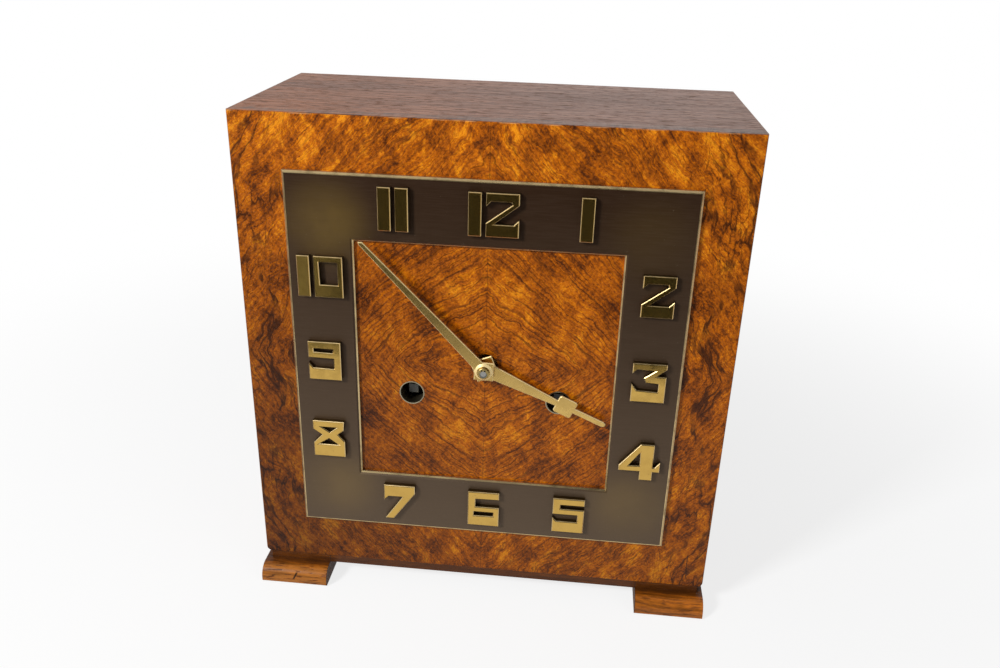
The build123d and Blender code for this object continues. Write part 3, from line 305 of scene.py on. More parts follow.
def bare_wood(name, along):
    """Straight-grained wood without polish."""
    it = Finish(name)
    colour, relief = grain(it, BARE_WOOD, along, 0.7)
    return wood(it, colour, relief, polish(it, relief, 0.69, 0.51), 0.3)


def board_tones(settings):
    """Dark, middle and light of the top and the sides."""
    middle = tuple(settings.board)
    return scaled(middle, 0.30), middle, scaled(middle, 1.9)


def side_veneer(tones):
    """Upright grain outside and bare wood inside."""
    it = Finish("side_veneer")
    colour, relief = grain(it, tones, "Z", 0.3)
    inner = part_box("case_side_right")[0].x
    inside = it.before(abs(it.split(it.place)[0]), inner + 0.2 * MM)
    colour = it.mix(inside, colour, grain(it, BARE_WOOD, "Z")[0])
    return wood(it, colour, relief, polish(it, relief, 0.50, 0.32) + inside * 0.2, 0.2)


def sheen_greyed(it, colour):
    """Wood greyed towards the right by a painted sheen."""
    share = it.range(it.split(it.place)[0], -100 * MM, 60 * MM, 0.0, 0.50)
    return it.mix(share, colour, (0.50, 0.43, 0.39), "SATURATION")


def top_veneer(tones):
    """Grain across the top, greyed towards the right by a painted sheen, with the sides' veneer carried up
    over its ends, and bare wood under it.
    """
    it = Finish("top_veneer")
    colour, relief = grain(it, tones, "X", fleck=0.85)
    low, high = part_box("case_top")
    x, _, z = it.split(it.place)
    end = it.past(abs(x), high.x - 0.3 * MM)
    under = it.before(z, low.z + 0.2 * MM)
    # Painted sheen greys the top towards the right
    colour = it.mix(0.10, sheen_greyed(it, colour), (0.50, 0.12, 0.0))
    colour = it.mix(end, colour, grain(it, tones, "Z")[0])
    colour = it.mix(under, colour, grain(it, BARE_WOOD, "X")[0])
    return wood(it, colour, relief, polish(it, relief, 0.48, 0.30), 0.05)


def plinth_wood(middle):
    """Open-pored wood: a painted highlight on the worn rounded fronts, painted shade and grime in the corner
    under the panel, and an old nick in the left foot.
    """
    it = Finish("plinth_wood")
    tones = (scaled(middle, 0.16), middle, scaled(middle, 2.7))
    colour, relief = grain(it, tones, "X", 0.1, 0.42)
    x, y, z = it.split(it.place)
    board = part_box("base_board")[0]
    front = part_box("foot_left")[0].y
    inner = -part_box("foot_left")[1].x

    # Painted highlight on the rounded fronts of the feet, stronger at the left
    nose_highlight = it.fall(y, front + 2.55 * MM, front + 6.55 * MM)
    nose_highlight = nose_highlight * it.range(x, -20 * MM, 20 * MM, 0.55, 0.12)
    colour = it.mix(nose_highlight * it.range(relief, 0.2, 0.6), colour, (0.36, 0.135, 0.022))

    # Painted shade and grime in the corner where the feet meet the base board
    corner_grime_and_shade = it.range(y, board.y - 4.5 * MM, board.y - 0.8 * MM)
    corner_grime_and_shade = corner_grime_and_shade * it.range(z, board.z - 2.5 * MM, board.z - 0.2 * MM)
    colour = it.mix(corner_grime_and_shade * 0.72, colour, (0.026, 0.008, 0.002))
    over = it.past(z, board.z - 0.1 * MM, 0.2 * MM)
    colour = it.mix(over * 0.45, colour, (0.050, 0.014, 0.003))

    # The nick leans to the right as it rises
    nick_x, nick_z = -96.5 * MM, 4.8 * MM
    slant = x - nick_x + (z - nick_z) * -0.5
    nick = it.fall(abs(slant), 0.3 * MM, 0.7 * MM) * it.fall(abs(z - nick_z), 1.2 * MM, 2.2 * MM)
    nick = nick * it.fall(y, front + 3.55 * MM, front + 5.05 * MM)
    colour = it.mix(nick * 0.9, colour, (0.008, 0.003, 0.001))

    # Dark flanks on the inner sides of the feet
    flank = it.fall(abs(abs(x) - inner), 0.1 * MM, 0.3 * MM)
    colour = it.mix(flank * 0.8, colour, (0.020, 0.008, 0.004))
    return wood(it, colour, relief, polish(it, relief, 0.46, 0.26) + flank * 0.3, 0.20)


# Burl of the front panel

class Burl(Finish):
    """Veneer in four leaves that match about the hands' axis, with coordinates across and along its lines."""

    def __init__(self, name):
        super().__init__(name)
        self.x, self.y, self.z = self.split(self.place)
        self.side = abs(self.x)
        self.rise = abs(self.z - AXIS_Z)
        self.leaf = self.point(self.side, self.y * 0.6, self.rise)
        self.wildness = self.range(self.larger(self.side, self.rise * 0.78), 35 * MM, 100 * MM)
        self.own = self.noise(self.place, 30.0, 3.0, 0.55) - 0.5
        self.cloud = self.noise(self.leaf, 36.0, 4.0, 0.62, 0.2)
        self.patch = self.noise(self.place, 21.0, 3.0, 0.6)
        self.across = self.growth()
        self.along = self.side * ACROSS_RISE - self.rise * ACROSS_SIDE + self.own * (16 * MM)
        self.fibre = self.figure(520.0, 40.0, 4.0, 0.65, 7.0)

    def outward(self, near, far):
        """Goes from one value near the dial to another in the borders."""
        return self.range(self.wildness, 0.0, 1.0, near, far)

    def growth(self):
        """Nested diamonds, which steepen and bend in the borders and never run quite true."""
        side, rise = self.side, self.rise
        bend = side * side * 5.0 + side * (rise * rise) * 60.0
        sweep = rise * ACROSS_RISE + side * ACROSS_SIDE + bend
        drift = (self.noise(self.leaf, 24.0, 3.0, 0.55) - 0.5) * self.outward(10 * MM, 24 * MM)
        swirl = (self.noise(self.leaf, 55.0, 4.0, 0.6, 0.3) - 0.5) * self.outward(3 * MM, 16 * MM)
        tremor = (self.noise(self.place, 210.0, 4.0, 0.65) - 0.5) * (3.8 * MM)
        return sweep + (drift + swirl + tremor) + self.own * (14 * MM)

    def figure(self, across, along, detail=3.0, roughness=0.6, shift=0.0):
        """Noise that follows the growth lines."""
        spot = self.point(self.across * across, self.along * along, shift)
        return self.noise(spot, 1.0, detail, roughness)

    def rings(self, count, wander, width, along, shift, low, high):
        """Growth lines at uneven distances, which fade in and out along their length."""
        phase = self.across * count + self.figure(46.0, 5.0, shift=shift) * wander
        away = abs(self.math("FRACT", phase) - 0.5)
        seen = self.range(self.figure(150.0, along, 3.0, 0.55, shift + 2.0), low, high)
        return self.fall(away, width * 0.3, width) * seen


def burl_tone(it):
    """How light the wood is, with stripes beyond the dial and bright curls along the upper edge, a painted
    highlight that fades to the right.
    """
    tone = (it.figure(34.0, 100.0, 3.0, 0.55) - 0.5) * 0.90
    ripple = it.figure(150.0, 400.0, shift=3.0)
    mottle = it.noise(it.place, 1000.0, 3.0, 0.7)
    parts = ((it.cloud, 0.30), (it.patch, 0.32), (ripple, 0.46), (it.fibre, 0.70), (mottle, 0.80))
    for part, weight in parts:
        tone = tone + (part - 0.5) * weight
    stripe = it.range(it.figure(95.0, 13.0, 3.0, 0.55, 15.0), 0.38, 0.62, -0.5, 0.5)
    tone = tone + stripe * it.range(it.rise, 50 * MM, 95 * MM, 0.06, 0.17)
    # Bright curls of the figure along the upper edge: a painted highlight, strongest at the left
    lit_curls = it.range(it.figure(85.0, 300.0, shift=9.0), 0.46, 0.66)
    high = it.range(it.z, DIAL_HIGH.z - 10 * MM, PANEL_HIGH.z - 4 * MM)
    high = high * it.range(it.x, -10 * MM, 30 * MM, 1.0, 0.25)
    return tone + lit_curls * high * 0.22 + 0.52


def burl_lines(it, colour):
    """Wide and fine growth lines, fainter in the borders."""
    calm = it.outward(1.0, 0.45)
    wide = it.rings(count=330.0, wander=6.0, width=0.19, along=30.0, shift=0.0, low=0.38, high=0.58)
    fine = it.rings(count=760.0, wander=9.0, width=0.26, along=60.0, shift=11.0, low=0.42, high=0.66)
    colour = it.mix(wide * (calm * 0.64), colour, INK)
    return it.mix(fine * (calm * 0.46), colour, INK)


def burl_tangles(it, colour):
    """Dark tangles of the borders, which run with the growth lines, but upright beside the dial."""
    beside = it.range(it.side, DIAL_HIGH.x - 8 * MM, DIAL_HIGH.x + 1 * MM)
    elsewhere = 1.0 - beside
    lean = it.noise(it.leaf, 30.0, 2.0) - 0.5
    jog = it.noise(it.place, 120.0, 3.0, 0.6) - 0.5
    upright = it.side + it.rise * 0.22 + (lean * (18 * MM) + jog * (4 * MM))
    across = elsewhere * it.across + beside * upright
    along = elsewhere * it.along + beside * it.rise

    def off_centre(across_scale, along_scale, shift):
        """How far a spot is from the middle of the nearest strand."""
        spot = it.point(across * across_scale, along * along_scale, shift)
        return abs(it.noise(spot, 1.0, 3.0, 0.55, 0.25) - 0.5)

    bark = off_centre(76.0, 20.0, 4.0)
    haze = it.fall(bark, 0.0, 0.070) * it.range(it.cloud, 0.42, 0.60, 1.0, 0.25)
    colour = it.mix(haze * it.outward(0.10, 0.30), colour, (0.080, 0.019, 0.003))
    core = it.fall(bark, 0.004, 0.022) * it.range(it.cloud, 0.46, 0.62, 1.0, 0.25)
    core = core * it.range(beside, 0.0, 1.0, 0.45, 1.0)
    colour = it.mix(core * it.outward(0.40, 0.82), colour, INK)
    twigs = it.fall(off_centre(190.0, 44.0, 8.0), 0.004, 0.030) * it.range(it.patch, 0.40, 0.56, 0.15, 1.0)
    colour = it.mix(twigs * it.outward(0.0, 0.62), colour, INK)
    ridge = abs(it.noise(it.leaf, 62.0, 4.0, 0.62, 0.5) - 0.5)
    ridge = it.fall(ridge, 0.002, 0.016) * it.range(it.cloud, 0.40, 0.56, 1.0, 0.15)
    return it.mix(ridge * it.outward(0.08, 0.35), colour, INK)


def burl_shade_seam_and_crack(it, colour):
    """Painted shade, darker towards the foot, and darker towards the lower left, with a seam down the middle
    and a crack at the lower right.
    """
    # Painted shade that darkens the panel towards the foot, and a darkening towards the lower left
    dark = it.range(it.z, PANEL_LOW.z, PANEL_HIGH.z, 0.38, 0.0, smooth=False)
    left = it.range(it.x, -110 * MM, 20 * MM, 0.52, 0.0) * it.fall(it.z, AXIS_Z - 50 * MM, PANEL_HIGH.z)
    colour = it.mix(1.0, colour, it.mix(dark + left, WHITE, (0.25, 0.25, 0.30)), "MULTIPLY")
    colour = it.mix(it.range(it.side, 0.06 * MM, 0.30 * MM, 0.5, 0.0), colour, INK)
    crack_x = 104.6 * MM
    crack_z = PANEL_LOW.z + 12 * MM
    crack = it.range(abs(it.x - crack_x + it.own * (4 * MM)), 0.1 * MM, 0.4 * MM, 0.8, 0.0)
    crack = crack * it.fall(abs(it.z - crack_z), 6 * MM, 9 * MM)
    return it.mix(crack, colour, (0.012, 0.005, 0.003))


def burl_edges(it, colour, over, tones):
    """The veneer of the top and the sides on the panel's edges, and a rubbed rim below the upper edge."""
    # The top's veneer on the upper edge carries the same painted sheen
    top = sheen_greyed(it, grain(it, tones, "X", fleck=0.85)[0])
    side = grain(it, tones, "Z", 0.3)[0]
    beside = it.range(it.side, PANEL_HIGH.x - VENEER, PANEL_HIGH.x - VENEER + VENEER_BLUR)
    colour = it.mix(beside, colour, side)
    colour = it.mix(over, colour, top)
    rub = it.range(it.z, PANEL_HIGH.z - 0.80 * MM, PANEL_HIGH.z - 0.45 * MM) * (1.0 - over)
    rub = rub * it.range(it.noise(it.place, 90.0, 4.0), 0.46, 0.60)
    return it.mix(rub * 0.55, colour, (0.42, 0.25, 0.12))


def burl_veneer(settings):
    """Figured walnut under a clear polish, and bare wood behind it."""
    it = Burl("burl_veneer")
    colour = it.ramp(burl_tone(it), (0.18, tuple(settings.dark_walnut)), (0.34, (0.150, 0.034, 0.0015)),
                     (0.50, tuple(settings.walnut)), (0.66, (0.45, 0.116, 0.0015)),
                     (0.84, tuple(settings.bright_walnut)))
    colour = burl_lines(it, colour)
    colour = burl_tangles(it, colour)
    pores = it.range(it.figure(1500.0, 520.0), 0.54, 0.66)
    colour = it.mix(pores * 0.55, colour, (0.022, 0.006, 0.001))
    colour = burl_shade_seam_and_crack(it, colour)

    behind = it.past(it.y, FACE_Y + 1.2 * MM, 0.2 * MM)
    colour = it.mix(behind, colour, grain(it, BARE_WOOD, "Z", 0.2)[0])
    over = it.range(it.z, PANEL_HIGH.z - VENEER, PANEL_HIGH.z - VENEER + VENEER_BLUR)
    colour = burl_edges(it, colour, over, board_tones(settings))
    relief = (it.fibre * 0.6 + pores * -0.9) * (1.0 - over)
    rough = it.range(it.fibre, 0.3, 0.7, 0.34, 0.22) + it.larger(over, behind) * 0.14
    return it.set(colour=colour, roughness=rough, normal=it.bump(relief, 0.14, 0.2 * MM), specular=0.16)


# Metals

def patinated_bronze(settings):
    """Dark bronze sheet with olive corners, a painted reflection that greys it towards the bottom, and pale
    polished bevels.
    """
    it = Finish("patinated_bronze")
    x, _, z = it.split(it.place)
    side = abs(x)
    rise = abs(z - DIAL_MIDDLE)
    cloud = it.noise(it.place, 30.0, 4.0, 0.6)
    corner = (DIAL_HALF - 18.5 * MM, 0.0, DIAL_HALF - 22.5 * MM)
    glow = it.fall(it.distance(it.point(side, 0.0, rise), corner), 3 * MM, 27 * MM)
    glow = glow * it.range(cloud, 0.3, 0.7, 0.55, 1.0)
    upper_right = it.range(x, 0.0, 60 * MM) * it.range(z, DIAL_MIDDLE, DIAL_MIDDLE + 60 * MM)
    glow = glow * (1.0 - upper_right * 0.70)
    brushed = it.noise(it.stretched(it.place, (0.05, 1.0, 1.0)), 2400.0, 2.0)
    colour = it.mix(glow, tuple(settings.bronze), tuple(settings.olive_bronze))
    # Painted reflection of the pale floor: lighter and greyer towards the bottom
    lower = it.range(z, DIAL_LOW.z, DIAL_HIGH.z, 0.62, 0.0, smooth=False)
    colour = it.mix(lower, colour, (0.112, 0.080, 0.050))
    colour = it.mix(it.range(brushed, 0.35, 0.7, 0.0, 0.08), colour, (0.12, 0.08, 0.055))
    specks = it.range(it.noise(it.place, 900.0, 2.0), 0.73, 0.78)
    colour = it.mix(specks * 0.12, colour, (0.30, 0.26, 0.20))

    furthest = it.larger(side, rise)
    outer = it.past(furthest, DIAL_HALF - DIAL_BEVEL - BLUR / 2)
    inner = it.before(furthest, WINDOW_HALF + DIAL_BEVEL - BLUR / 2)
    bevel = it.larger(outer, inner)
    worn = bevel * it.range(it.noise(it.place, 160.0), 0.30, 0.55, 0.6, 1.0)
    colour = it.mix(worn, colour, tuple(settings.pale_brass))
    rough = it.range(cloud, 0.2, 0.8, 0.46, 0.36) + bevel * -0.12
    metal = it.range(bevel, 0.0, 1.0, 0.45, 0.95)
    normal = it.bump(brushed, 0.10, 0.1 * MM)
    return it.set(colour=colour, roughness=rough, metallic=metal, normal=normal, specular=0.3)


def worked_metal(name, colour, rough, work=0.12, tarnish=0.25, direction=(1.0, 1.0, 0.06)):
    """Metal with fine working marks, a little tarnish and small pits."""
    it = Finish(name)
    marks = it.noise(it.stretched(it.place, direction), 1800.0)
    cloud = it.noise(it.place, 120.0, 4.0, 0.6)
    pits = it.range(it.noise(it.place, 900.0, 2.0), 0.70, 0.76)
    tint = it.mix(it.range(cloud, 0.42, 0.72) * tarnish, colour, scaled(colour, 0.55))
    tint = it.mix(it.range(marks, 0.35, 0.70, 0.0, work), tint, scaled(colour, 1.25))
    tint = it.mix(pits * 0.5, tint, scaled(colour, 0.3))
    roughness = it.range(cloud, 0.3, 0.7, rough, rough + 0.10) + pits * 0.2
    return it.set(colour=tint, roughness=roughness, metallic=1.0, normal=it.bump(marks, work, 0.08 * MM))


def polished_figures(settings):
    """Brass figures: bright fronts, pale rims that carry a painted highlight, and dark walls, a painted shade
    and dark reflection.
    """
    it = Finish("polished_figures")
    y = it.split(it.place)[1]
    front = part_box("numeral_6")[0].y
    shaded_wall = it.past(y, front + 0.5 * MM, 0.2 * MM)
    rim = it.past(y, front + 0.08 * MM, 0.08 * MM) * (1.0 - shaded_wall)
    cloud = it.noise(it.place, 180.0)
    marks = it.noise(it.stretched(it.place, (0.1, 1.0, 1.0)), 2200.0, 2.0)
    specks = it.range(it.noise(it.place, 1100.0, 2.0), 0.70, 0.75)
    tint = it.mix(it.range(cloud, 0.40, 0.75, 0.0, 0.22), tuple(settings.gold_brass), (0.36, 0.21, 0.05))
    # Painted shade and dark reflection on the walls
    tint = it.mix(shaded_wall * 0.85, tint, (0.07, 0.05, 0.025))
    tint = it.mix(specks * 0.45, tint, (0.10, 0.07, 0.03))
    # Painted highlight on the pale rims along the front edges
    tint = it.mix(rim * 0.6, tint, (0.78, 0.62, 0.36))
    rough = it.range(cloud, 0.3, 0.7, 0.10, 0.17) + shaded_wall * 0.25 + rim * 0.22
    return it.set(colour=tint, roughness=rough, metallic=1.0, normal=it.bump(marks, 0.05, 0.05 * MM))


def satin_hand(settings, node):
    """Satin brass hand with pale edges that carry a painted highlight."""
    it = Finish(f"satin_{node}")
    y = it.split(it.place)[1]
    edge = it.past(y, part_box(node)[0].y + 0.03 * MM, 0.07 * MM)
    cloud = it.noise(it.place, 120.0, 4.0, 0.6)
    brushed = it.noise(it.place, 1700.0)
    tint = it.mix(it.range(cloud, 0.42, 0.74, 0.0, 0.16), tuple(settings.hand_brass), (0.34, 0.21, 0.05))
    tint = it.mix(it.range(brushed, 0.35, 0.70, 0.0, 0.10), tint, (0.74, 0.56, 0.24))
    # Painted highlight on the pale edges behind the front face
    tint = it.mix(edge * 0.75, tint, (0.80, 0.65, 0.34))
    rough = it.range(cloud, 0.3, 0.7, 0.24, 0.31) + edge * 0.16
    metal = it.range(edge, 0.0, 1.0, 1.0, 0.42)
    return it.set(colour=tint, roughness=rough, metallic=metal, normal=it.bump(brushed, 0.10, 0.06 * MM))


def worn_nut():
    """Brass hand nut: a grey patch round the arbor's end and two pin holes above it."""
    it = Finish("worn_nut")
    x, y, z = it.split(it.place)
    face = it.before(y, NUT_LOW.y + 0.1 * MM)
    cloud = it.noise(it.place, 400.0, 3.0, 0.6)
    tint = it.mix(it.range(cloud, 0.40, 0.70, 0.0, 0.5), (0.50, 0.37, 0.14), (0.26, 0.19, 0.07))

    def spot(right, up, reach):
        """A round spot on the face, in millimetres from the axis."""
        away = it.distance(it.point(x, 0.0, z), from_axis(right, 0.0, up))
        return it.fall(away, (reach - 0.12) * MM, (reach + 0.06) * MM) * face

    tint = it.mix(spot(0.0, -0.45, 1.75), tint, (0.20, 0.20, 0.18))
    for right, up in ((-0.75, 1.55), (0.75, 1.45)):
        tint = it.mix(spot(right, up, 0.42), tint, (0.006, 0.005, 0.004))
    rough = it.range(cloud, 0.3, 0.7, 0.34, 0.46)
    return it.set(colour=tint, roughness=rough, metallic=1.0, normal=it.bump(cloud, 0.10, 0.1 * MM))


def wheel_metal(settings, node, reach):
    """Brass wheel on a steel arbor: steel as far as the reach from the node's axis."""
    it = Finish(f"wheel_{node}")
    low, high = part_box(node)
    x, y, z = it.split(it.place)
    axis = ((low.x + high.x) / 2, 0.0, (low.z + high.z) / 2)
    away = it.distance(it.point(x, 0.0, z), axis)
    steel = it.before(away, reach)
    lines = it.noise(it.point(away * 2600.0, y, 0.0), 1.0, 2.0)
    cloud = it.noise(it.place, 130.0, 4.0, 0.6)
    brass = tuple(settings.movement_brass)
    tint = it.mix(it.range(cloud, 0.42, 0.74, 0.0, 0.25), brass, scaled(brass, 0.55))
    tint = it.mix(it.range(lines, 0.35, 0.70, 0.0, 0.14), tint, scaled(brass, 1.25))
    grey = it.mix(it.range(cloud, 0.35, 0.70, 0.0, 0.35), tuple(settings.steel), (0.26, 0.25, 0.23))
    tint = it.mix(steel, tint, grey)
    rough = it.range(cloud, 0.3, 0.7, 0.22, 0.32) + steel * 0.06
    return it.set(colour=tint, roughness=rough, metallic=1.0, normal=it.bump(lines, 0.12, 0.06 * MM))


# Pieces

def paint(material, *nodes):
    """Give CAD nodes a finish."""
    for node in nodes:
        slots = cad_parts[node].data.materials
        slots.clear()
        slots.append(material)


def start_cylinder(name, sides, radius, height, place=(0.0, 0.0, 0.0), look="up"):
    """A cylinder that stands on a place, open for editing."""
    bpy.ops.object.select_all(action="DESELECT")
    middle = Vector(place) + TURNS[look] @ Vector((0.0, 0.0, height / 2))
    bpy.ops.mesh.primitive_cylinder_add(vertices=sides, radius=radius, depth=height, location=middle,
                                        rotation=TURNS[look].to_euler())
    piece = bpy.context.active_object
    piece.name = piece.data.name = name
    bpy.ops.object.mode_set(mode="EDIT")
    return piece


def choose(piece, test, kind):
    """Select the faces or edges that pass a test."""
    shape = bmesh.from_edit_mesh(piece.data)
    for part in (shape.faces, shape.edges, shape.verts):
        for element in part:
            element.select_set(False)
    for element in getattr(shape, kind):
        if test(element):
            element.select_set(True)
    shape.select_flush_mode()
    bmesh.update_edit_mesh(piece.data)


def bevel_upper_rim(piece, width, segments):
    """Break the edges round the end that looks up in edit mode."""
    choose(piece, lambda edge: all(corner.co.z > 0 for corner in edge.verts), "edges")
    bpy.ops.mesh.bevel(offset=width, segments=segments, affect="EDGES")


def close_shape():
    """Leave edit mode and put the place of the piece into its mesh."""
    bpy.ops.object.mode_set(mode="OBJECT")
    bpy.ops.object.transform_apply(location=True, rotation=True, scale=True)


def dress(piece, material, angle):
    """Smooth the round faces of a selected piece and give it a finish."""
    bpy.ops.object.shade_smooth_by_angle(angle=math.radians(angle))
    piece.data.materials.clear()
    piece.data.materials.append(material)
    bpy.ops.object.select_all(action="DESELECT")


def own_copy(piece, name):
    """A copy of a piece with its own mesh."""
    copy = piece.copy()
    copy.data = piece.data.copy()
    copy.name = copy.data.name = name
    bpy.context.scene.collection.objects.link(copy)
    return copy


def cut_slot(piece, radius, height):
    """Saw a slot across a screw head."""
    bpy.ops.object.select_all(action="DESELECT")
    bpy.ops.mesh.primitive_cube_add(size=1.0, location=(0, 0, height))
    blade = bpy.context.active_object
    width, length, depth = radius * 0.26, radius * 2.4, height * 0.9
    blade.scale = (width, length, depth)
    slot = piece.modifiers.new("slot", "BOOLEAN")
    slot.operation = "DIFFERENCE"
    slot.solver = "EXACT"
    slot.object = blade
    bpy.ops.object.select_all(action="DESELECT")
    piece.select_set(True)
    bpy.context.view_layer.objects.active = piece
    bpy.ops.object.modifier_apply(modifier="slot")
    bpy.data.objects.remove(blade)


def screw_head(name, radius, height, material):
    """A slotted head that stands on the origin and looks along +Z."""
    piece = start_cylinder(name, 32, radius, height)
    bevel_upper_rim(piece, height * 0.35, 3)
    close_shape()
    cut_slot(piece, radius, height)
    dress(piece, material, 30.0)
    return piece


def screw_row(name, places, body="case"):
    """Names, places and body of the screws in a row."""
    return [(f"{name}_{number}", place, body) for number, place in enumerate(places, 1)]


def drive_screws(size, material, screws, look):
    """Model one head and set it and copies of it at their places, with no two slots alike."""
    head = screw_head(screws[0][0], *size, material)
    pieces = [head, *(own_copy(head, name) for name, _, _ in screws[1:])]
    for number, (piece, (_, place, body)) in enumerate(zip(pieces, screws)):
        turn = Matrix.Rotation(math.radians(FIRST_TURN + NEXT_TURN * number), 4, "Z")
        piece.data.transform(Matrix.Translation(place) @ TURNS[look] @ turn)
        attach(piece, body)


def pillar_nuts(steel):
    """Hexagon nuts on the ends of the pillars, behind the back plate."""
    height, radius, bore, bevel = 1.3 * MM, 3.4 * MM, 1.8 * MM, 0.3 * MM
    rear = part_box("back_plate")[1].y
    places = [from_axis(x, rear, z) for x, z in PILLARS]
    first = start_cylinder("pillar_nut_1", 6, radius, height, places[0], "back")
    bevel_upper_rim(first, bevel, 2)
    choose(first, lambda face: face.normal.z > 0.9, "faces")
    bpy.ops.mesh.inset(thickness=radius * math.cos(math.radians(30.0)) - bore - bevel)
    close_shape()
    dress(first, steel, 35.0)
    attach(first, "case")
    for number, place in enumerate(places[1:], 2):
        nut = own_copy(first, f"pillar_nut_{number}")
        nut.data.transform(Matrix.Translation(Vector(place) - Vector(places[0])))
        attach(nut, "case")


def movement_screws(steel):
    """Screws of the four posts, the pendulum cock and the two clicks."""
    front_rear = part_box("front_plate")[1].y
    posts = [from_axis(x, front_rear, z) for x, z in POSTS]
    drive_screws(POST_HEAD, steel, screw_row("post_screw", posts), "back")

    flange, drop, reach = 2 * MM, 4.5 * MM, 8.5 * MM
    flange_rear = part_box("back_plate")[1].y + flange
    flange_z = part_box("pendulum_cock")[1].z - drop
    cock = [(x, flange_rear, flange_z) for x in (-reach, reach)]
    drive_screws(COCK_HEAD, steel, screw_row("cock_screw", cock), "back")

    click_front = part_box("going_click")[0].y
    clicks = [from_axis(x, click_front, z) for x, z in CLICKS]
    drive_screws(CLICK_HEAD, steel, screw_row("click_screw", clicks), "front")


def gong_screws(steel):
    """Four screws through the foot of the gong block."""
    inset_x, inset_y, foot = 3 * MM, 6 * MM, 6 * MM
    low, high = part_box("gong_block")
    places = [(x, y, low.z + foot) for x in (low.x + inset_x, high.x - inset_x)
              for y in (low.y + inset_y, high.y - inset_y)]
    drive_screws(GONG_HEAD, steel, screw_row("gong_screw", places), "up")


def hinge_screws(brass):
    """Three screws through each leaf of the two hinges."""
    leaf_thick, leaf_long = 1 * MM, 24 * MM
    case_inset, door_inset = 2.6 * MM, 4.2 * MM
    steps = (4.5 * MM, 12 * MM, 19.5 * MM)
    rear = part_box("case_top")[1].y + leaf_thick
    low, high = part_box("hinge_case_leaves")
    case_x = low.x + case_inset
    door_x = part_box("hinge_door_leaves")[1].x - door_inset
    heights = [start + step for start in (low.z, high.z - leaf_long) for step in steps]
    screws = screw_row("case_screw", [(case_x, rear, z) for z in heights])
    screws += screw_row("door_screw", [(door_x, rear, z) for z in heights], "door")
    drive_screws(HINGE_HEAD, brass, screws, "back")


def knob_screw(brass):
    """One screw from inside the door into its knob."""
    low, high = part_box("door_knob")
    place = ((low.x + high.x) / 2, low.y, (low.z + high.z) / 2)
    drive_screws(KNOB_HEAD, brass, [("knob_screw", place, "door")], "front")


# Studio

FLOOR_SIZE = 6.0
FLAG_PLACE = (0.0, FACE_Y - 0.275, 0.62)
FLAG_SIZE = (2.6, 1.24, 1.0)
KEY_PLACE = (-0.82, FACE_Y - 0.83, 0.83)
KEY_TARGET = (0.0, FACE_Y, 0.15)
KEY_SIZE = 0.26
FILL_PLACE = (0.75, FACE_Y - 0.60, 0.55)
FILL_TARGET = (0.0, FACE_Y, 0.12)
FILL_SIZE = 0.60

# Found from the corners of the case and the dial in the photograph
CAMERA_PLACE = (0.03898, FACE_Y - 0.37591, PANEL_LOW.z + 0.30273)
CAMERA_DEGREES = (65.8533, -1.5687, 5.652)


def studio_paper():
    """Paper that the camera sees as white, and a little darker round the clock."""
    it = Finish("studio_paper")
    away = it.distance(it.place, (0.0, 0.0, 0.0))
    share = it.seen_directly() * it.range(away, 160 * MM, 620 * MM, 0.78, 1.0)
    paper = it.node("ShaderNodeBsdfDiffuse", {"Color": (0.76, 0.76, 0.76)})
    glow = it.node("ShaderNodeEmission", {"Color": WHITE, "Strength": 1.0})
    return it.close(it.blend(share, paper, glow))


def studio_cloth():
    """Dark matt cloth, paler at its left."""
    it = Finish("studio_cloth")
    left = it.fall(it.split(it.place)[0], -190 * MM, -120 * MM)
    return it.set(colour=it.mix(left, (0.110, 0.118, 0.110), (0.50, 0.54, 0.54)), specular=0.0)


def studio_floor():
    """Wide paper under the clock."""
    bpy.ops.mesh.primitive_grid_add(x_subdivisions=4, y_subdivisions=4, size=FLOOR_SIZE, location=(0, 0, 0))
    floor = bpy.context.active_object
    floor.name = "studio_floor"
    floor.data.materials.append(studio_paper())


def studio_flag():
    """A cloth in front of the clock, seen only as a reflection."""
    bpy.ops.mesh.primitive_plane_add(size=1.0, location=FLAG_PLACE, rotation=(math.radians(90), 0, 0))
    flag = bpy.context.active_object
    flag.name = "studio_flag"
    flag.scale = FLAG_SIZE
    bpy.ops.object.transform_apply(location=True, rotation=True, scale=True)
    flag.data.materials.append(studio_cloth())
    flag.visible_camera = False
    flag.visible_diffuse = False
    flag.visible_shadow = False
    flag.visible_transmission = False


def studio_world(strength):
    """Even light from all round, before a backdrop that the camera sees as white."""
    world = bpy.data.worlds.new("studio_world")
    world.use_nodes = True
    it = Nodes(world.node_tree)
    light = it.node("ShaderNodeBackground", {"Color": WHITE, "Strength": strength})
    white = it.node("ShaderNodeBackground", {"Color": WHITE, "Strength": 1.0})
    it.node("ShaderNodeOutputWorld", {"Surface": it.blend(it.seen_directly(), light, white)})
    return world


def studio_lamp(name, place, target, power, size):
    """A square lamp that looks at a target."""
    data = bpy.data.lights.new(name, "AREA")
    data.energy = power
    data.size = size
    lamp = bpy.data.objects.new(name, data)
    bpy.context.scene.collection.objects.link(lamp)
    lamp.location = place
    lamp.rotation_euler = (Vector(target) - Vector(place)).to_track_quat("-Z", "Y").to_euler()


def studio_camera(lens):
    """The camera of the photograph."""
    data = bpy.data.cameras.new("camera")
    data.lens = lens
    camera = bpy.data.objects.new("camera", data)
    bpy.context.scene.collection.objects.link(camera)
    camera.location = CAMERA_PLACE
    camera.rotation_euler = [math.radians(angle) for angle in CAMERA_DEGREES]
    return camera


# Settings

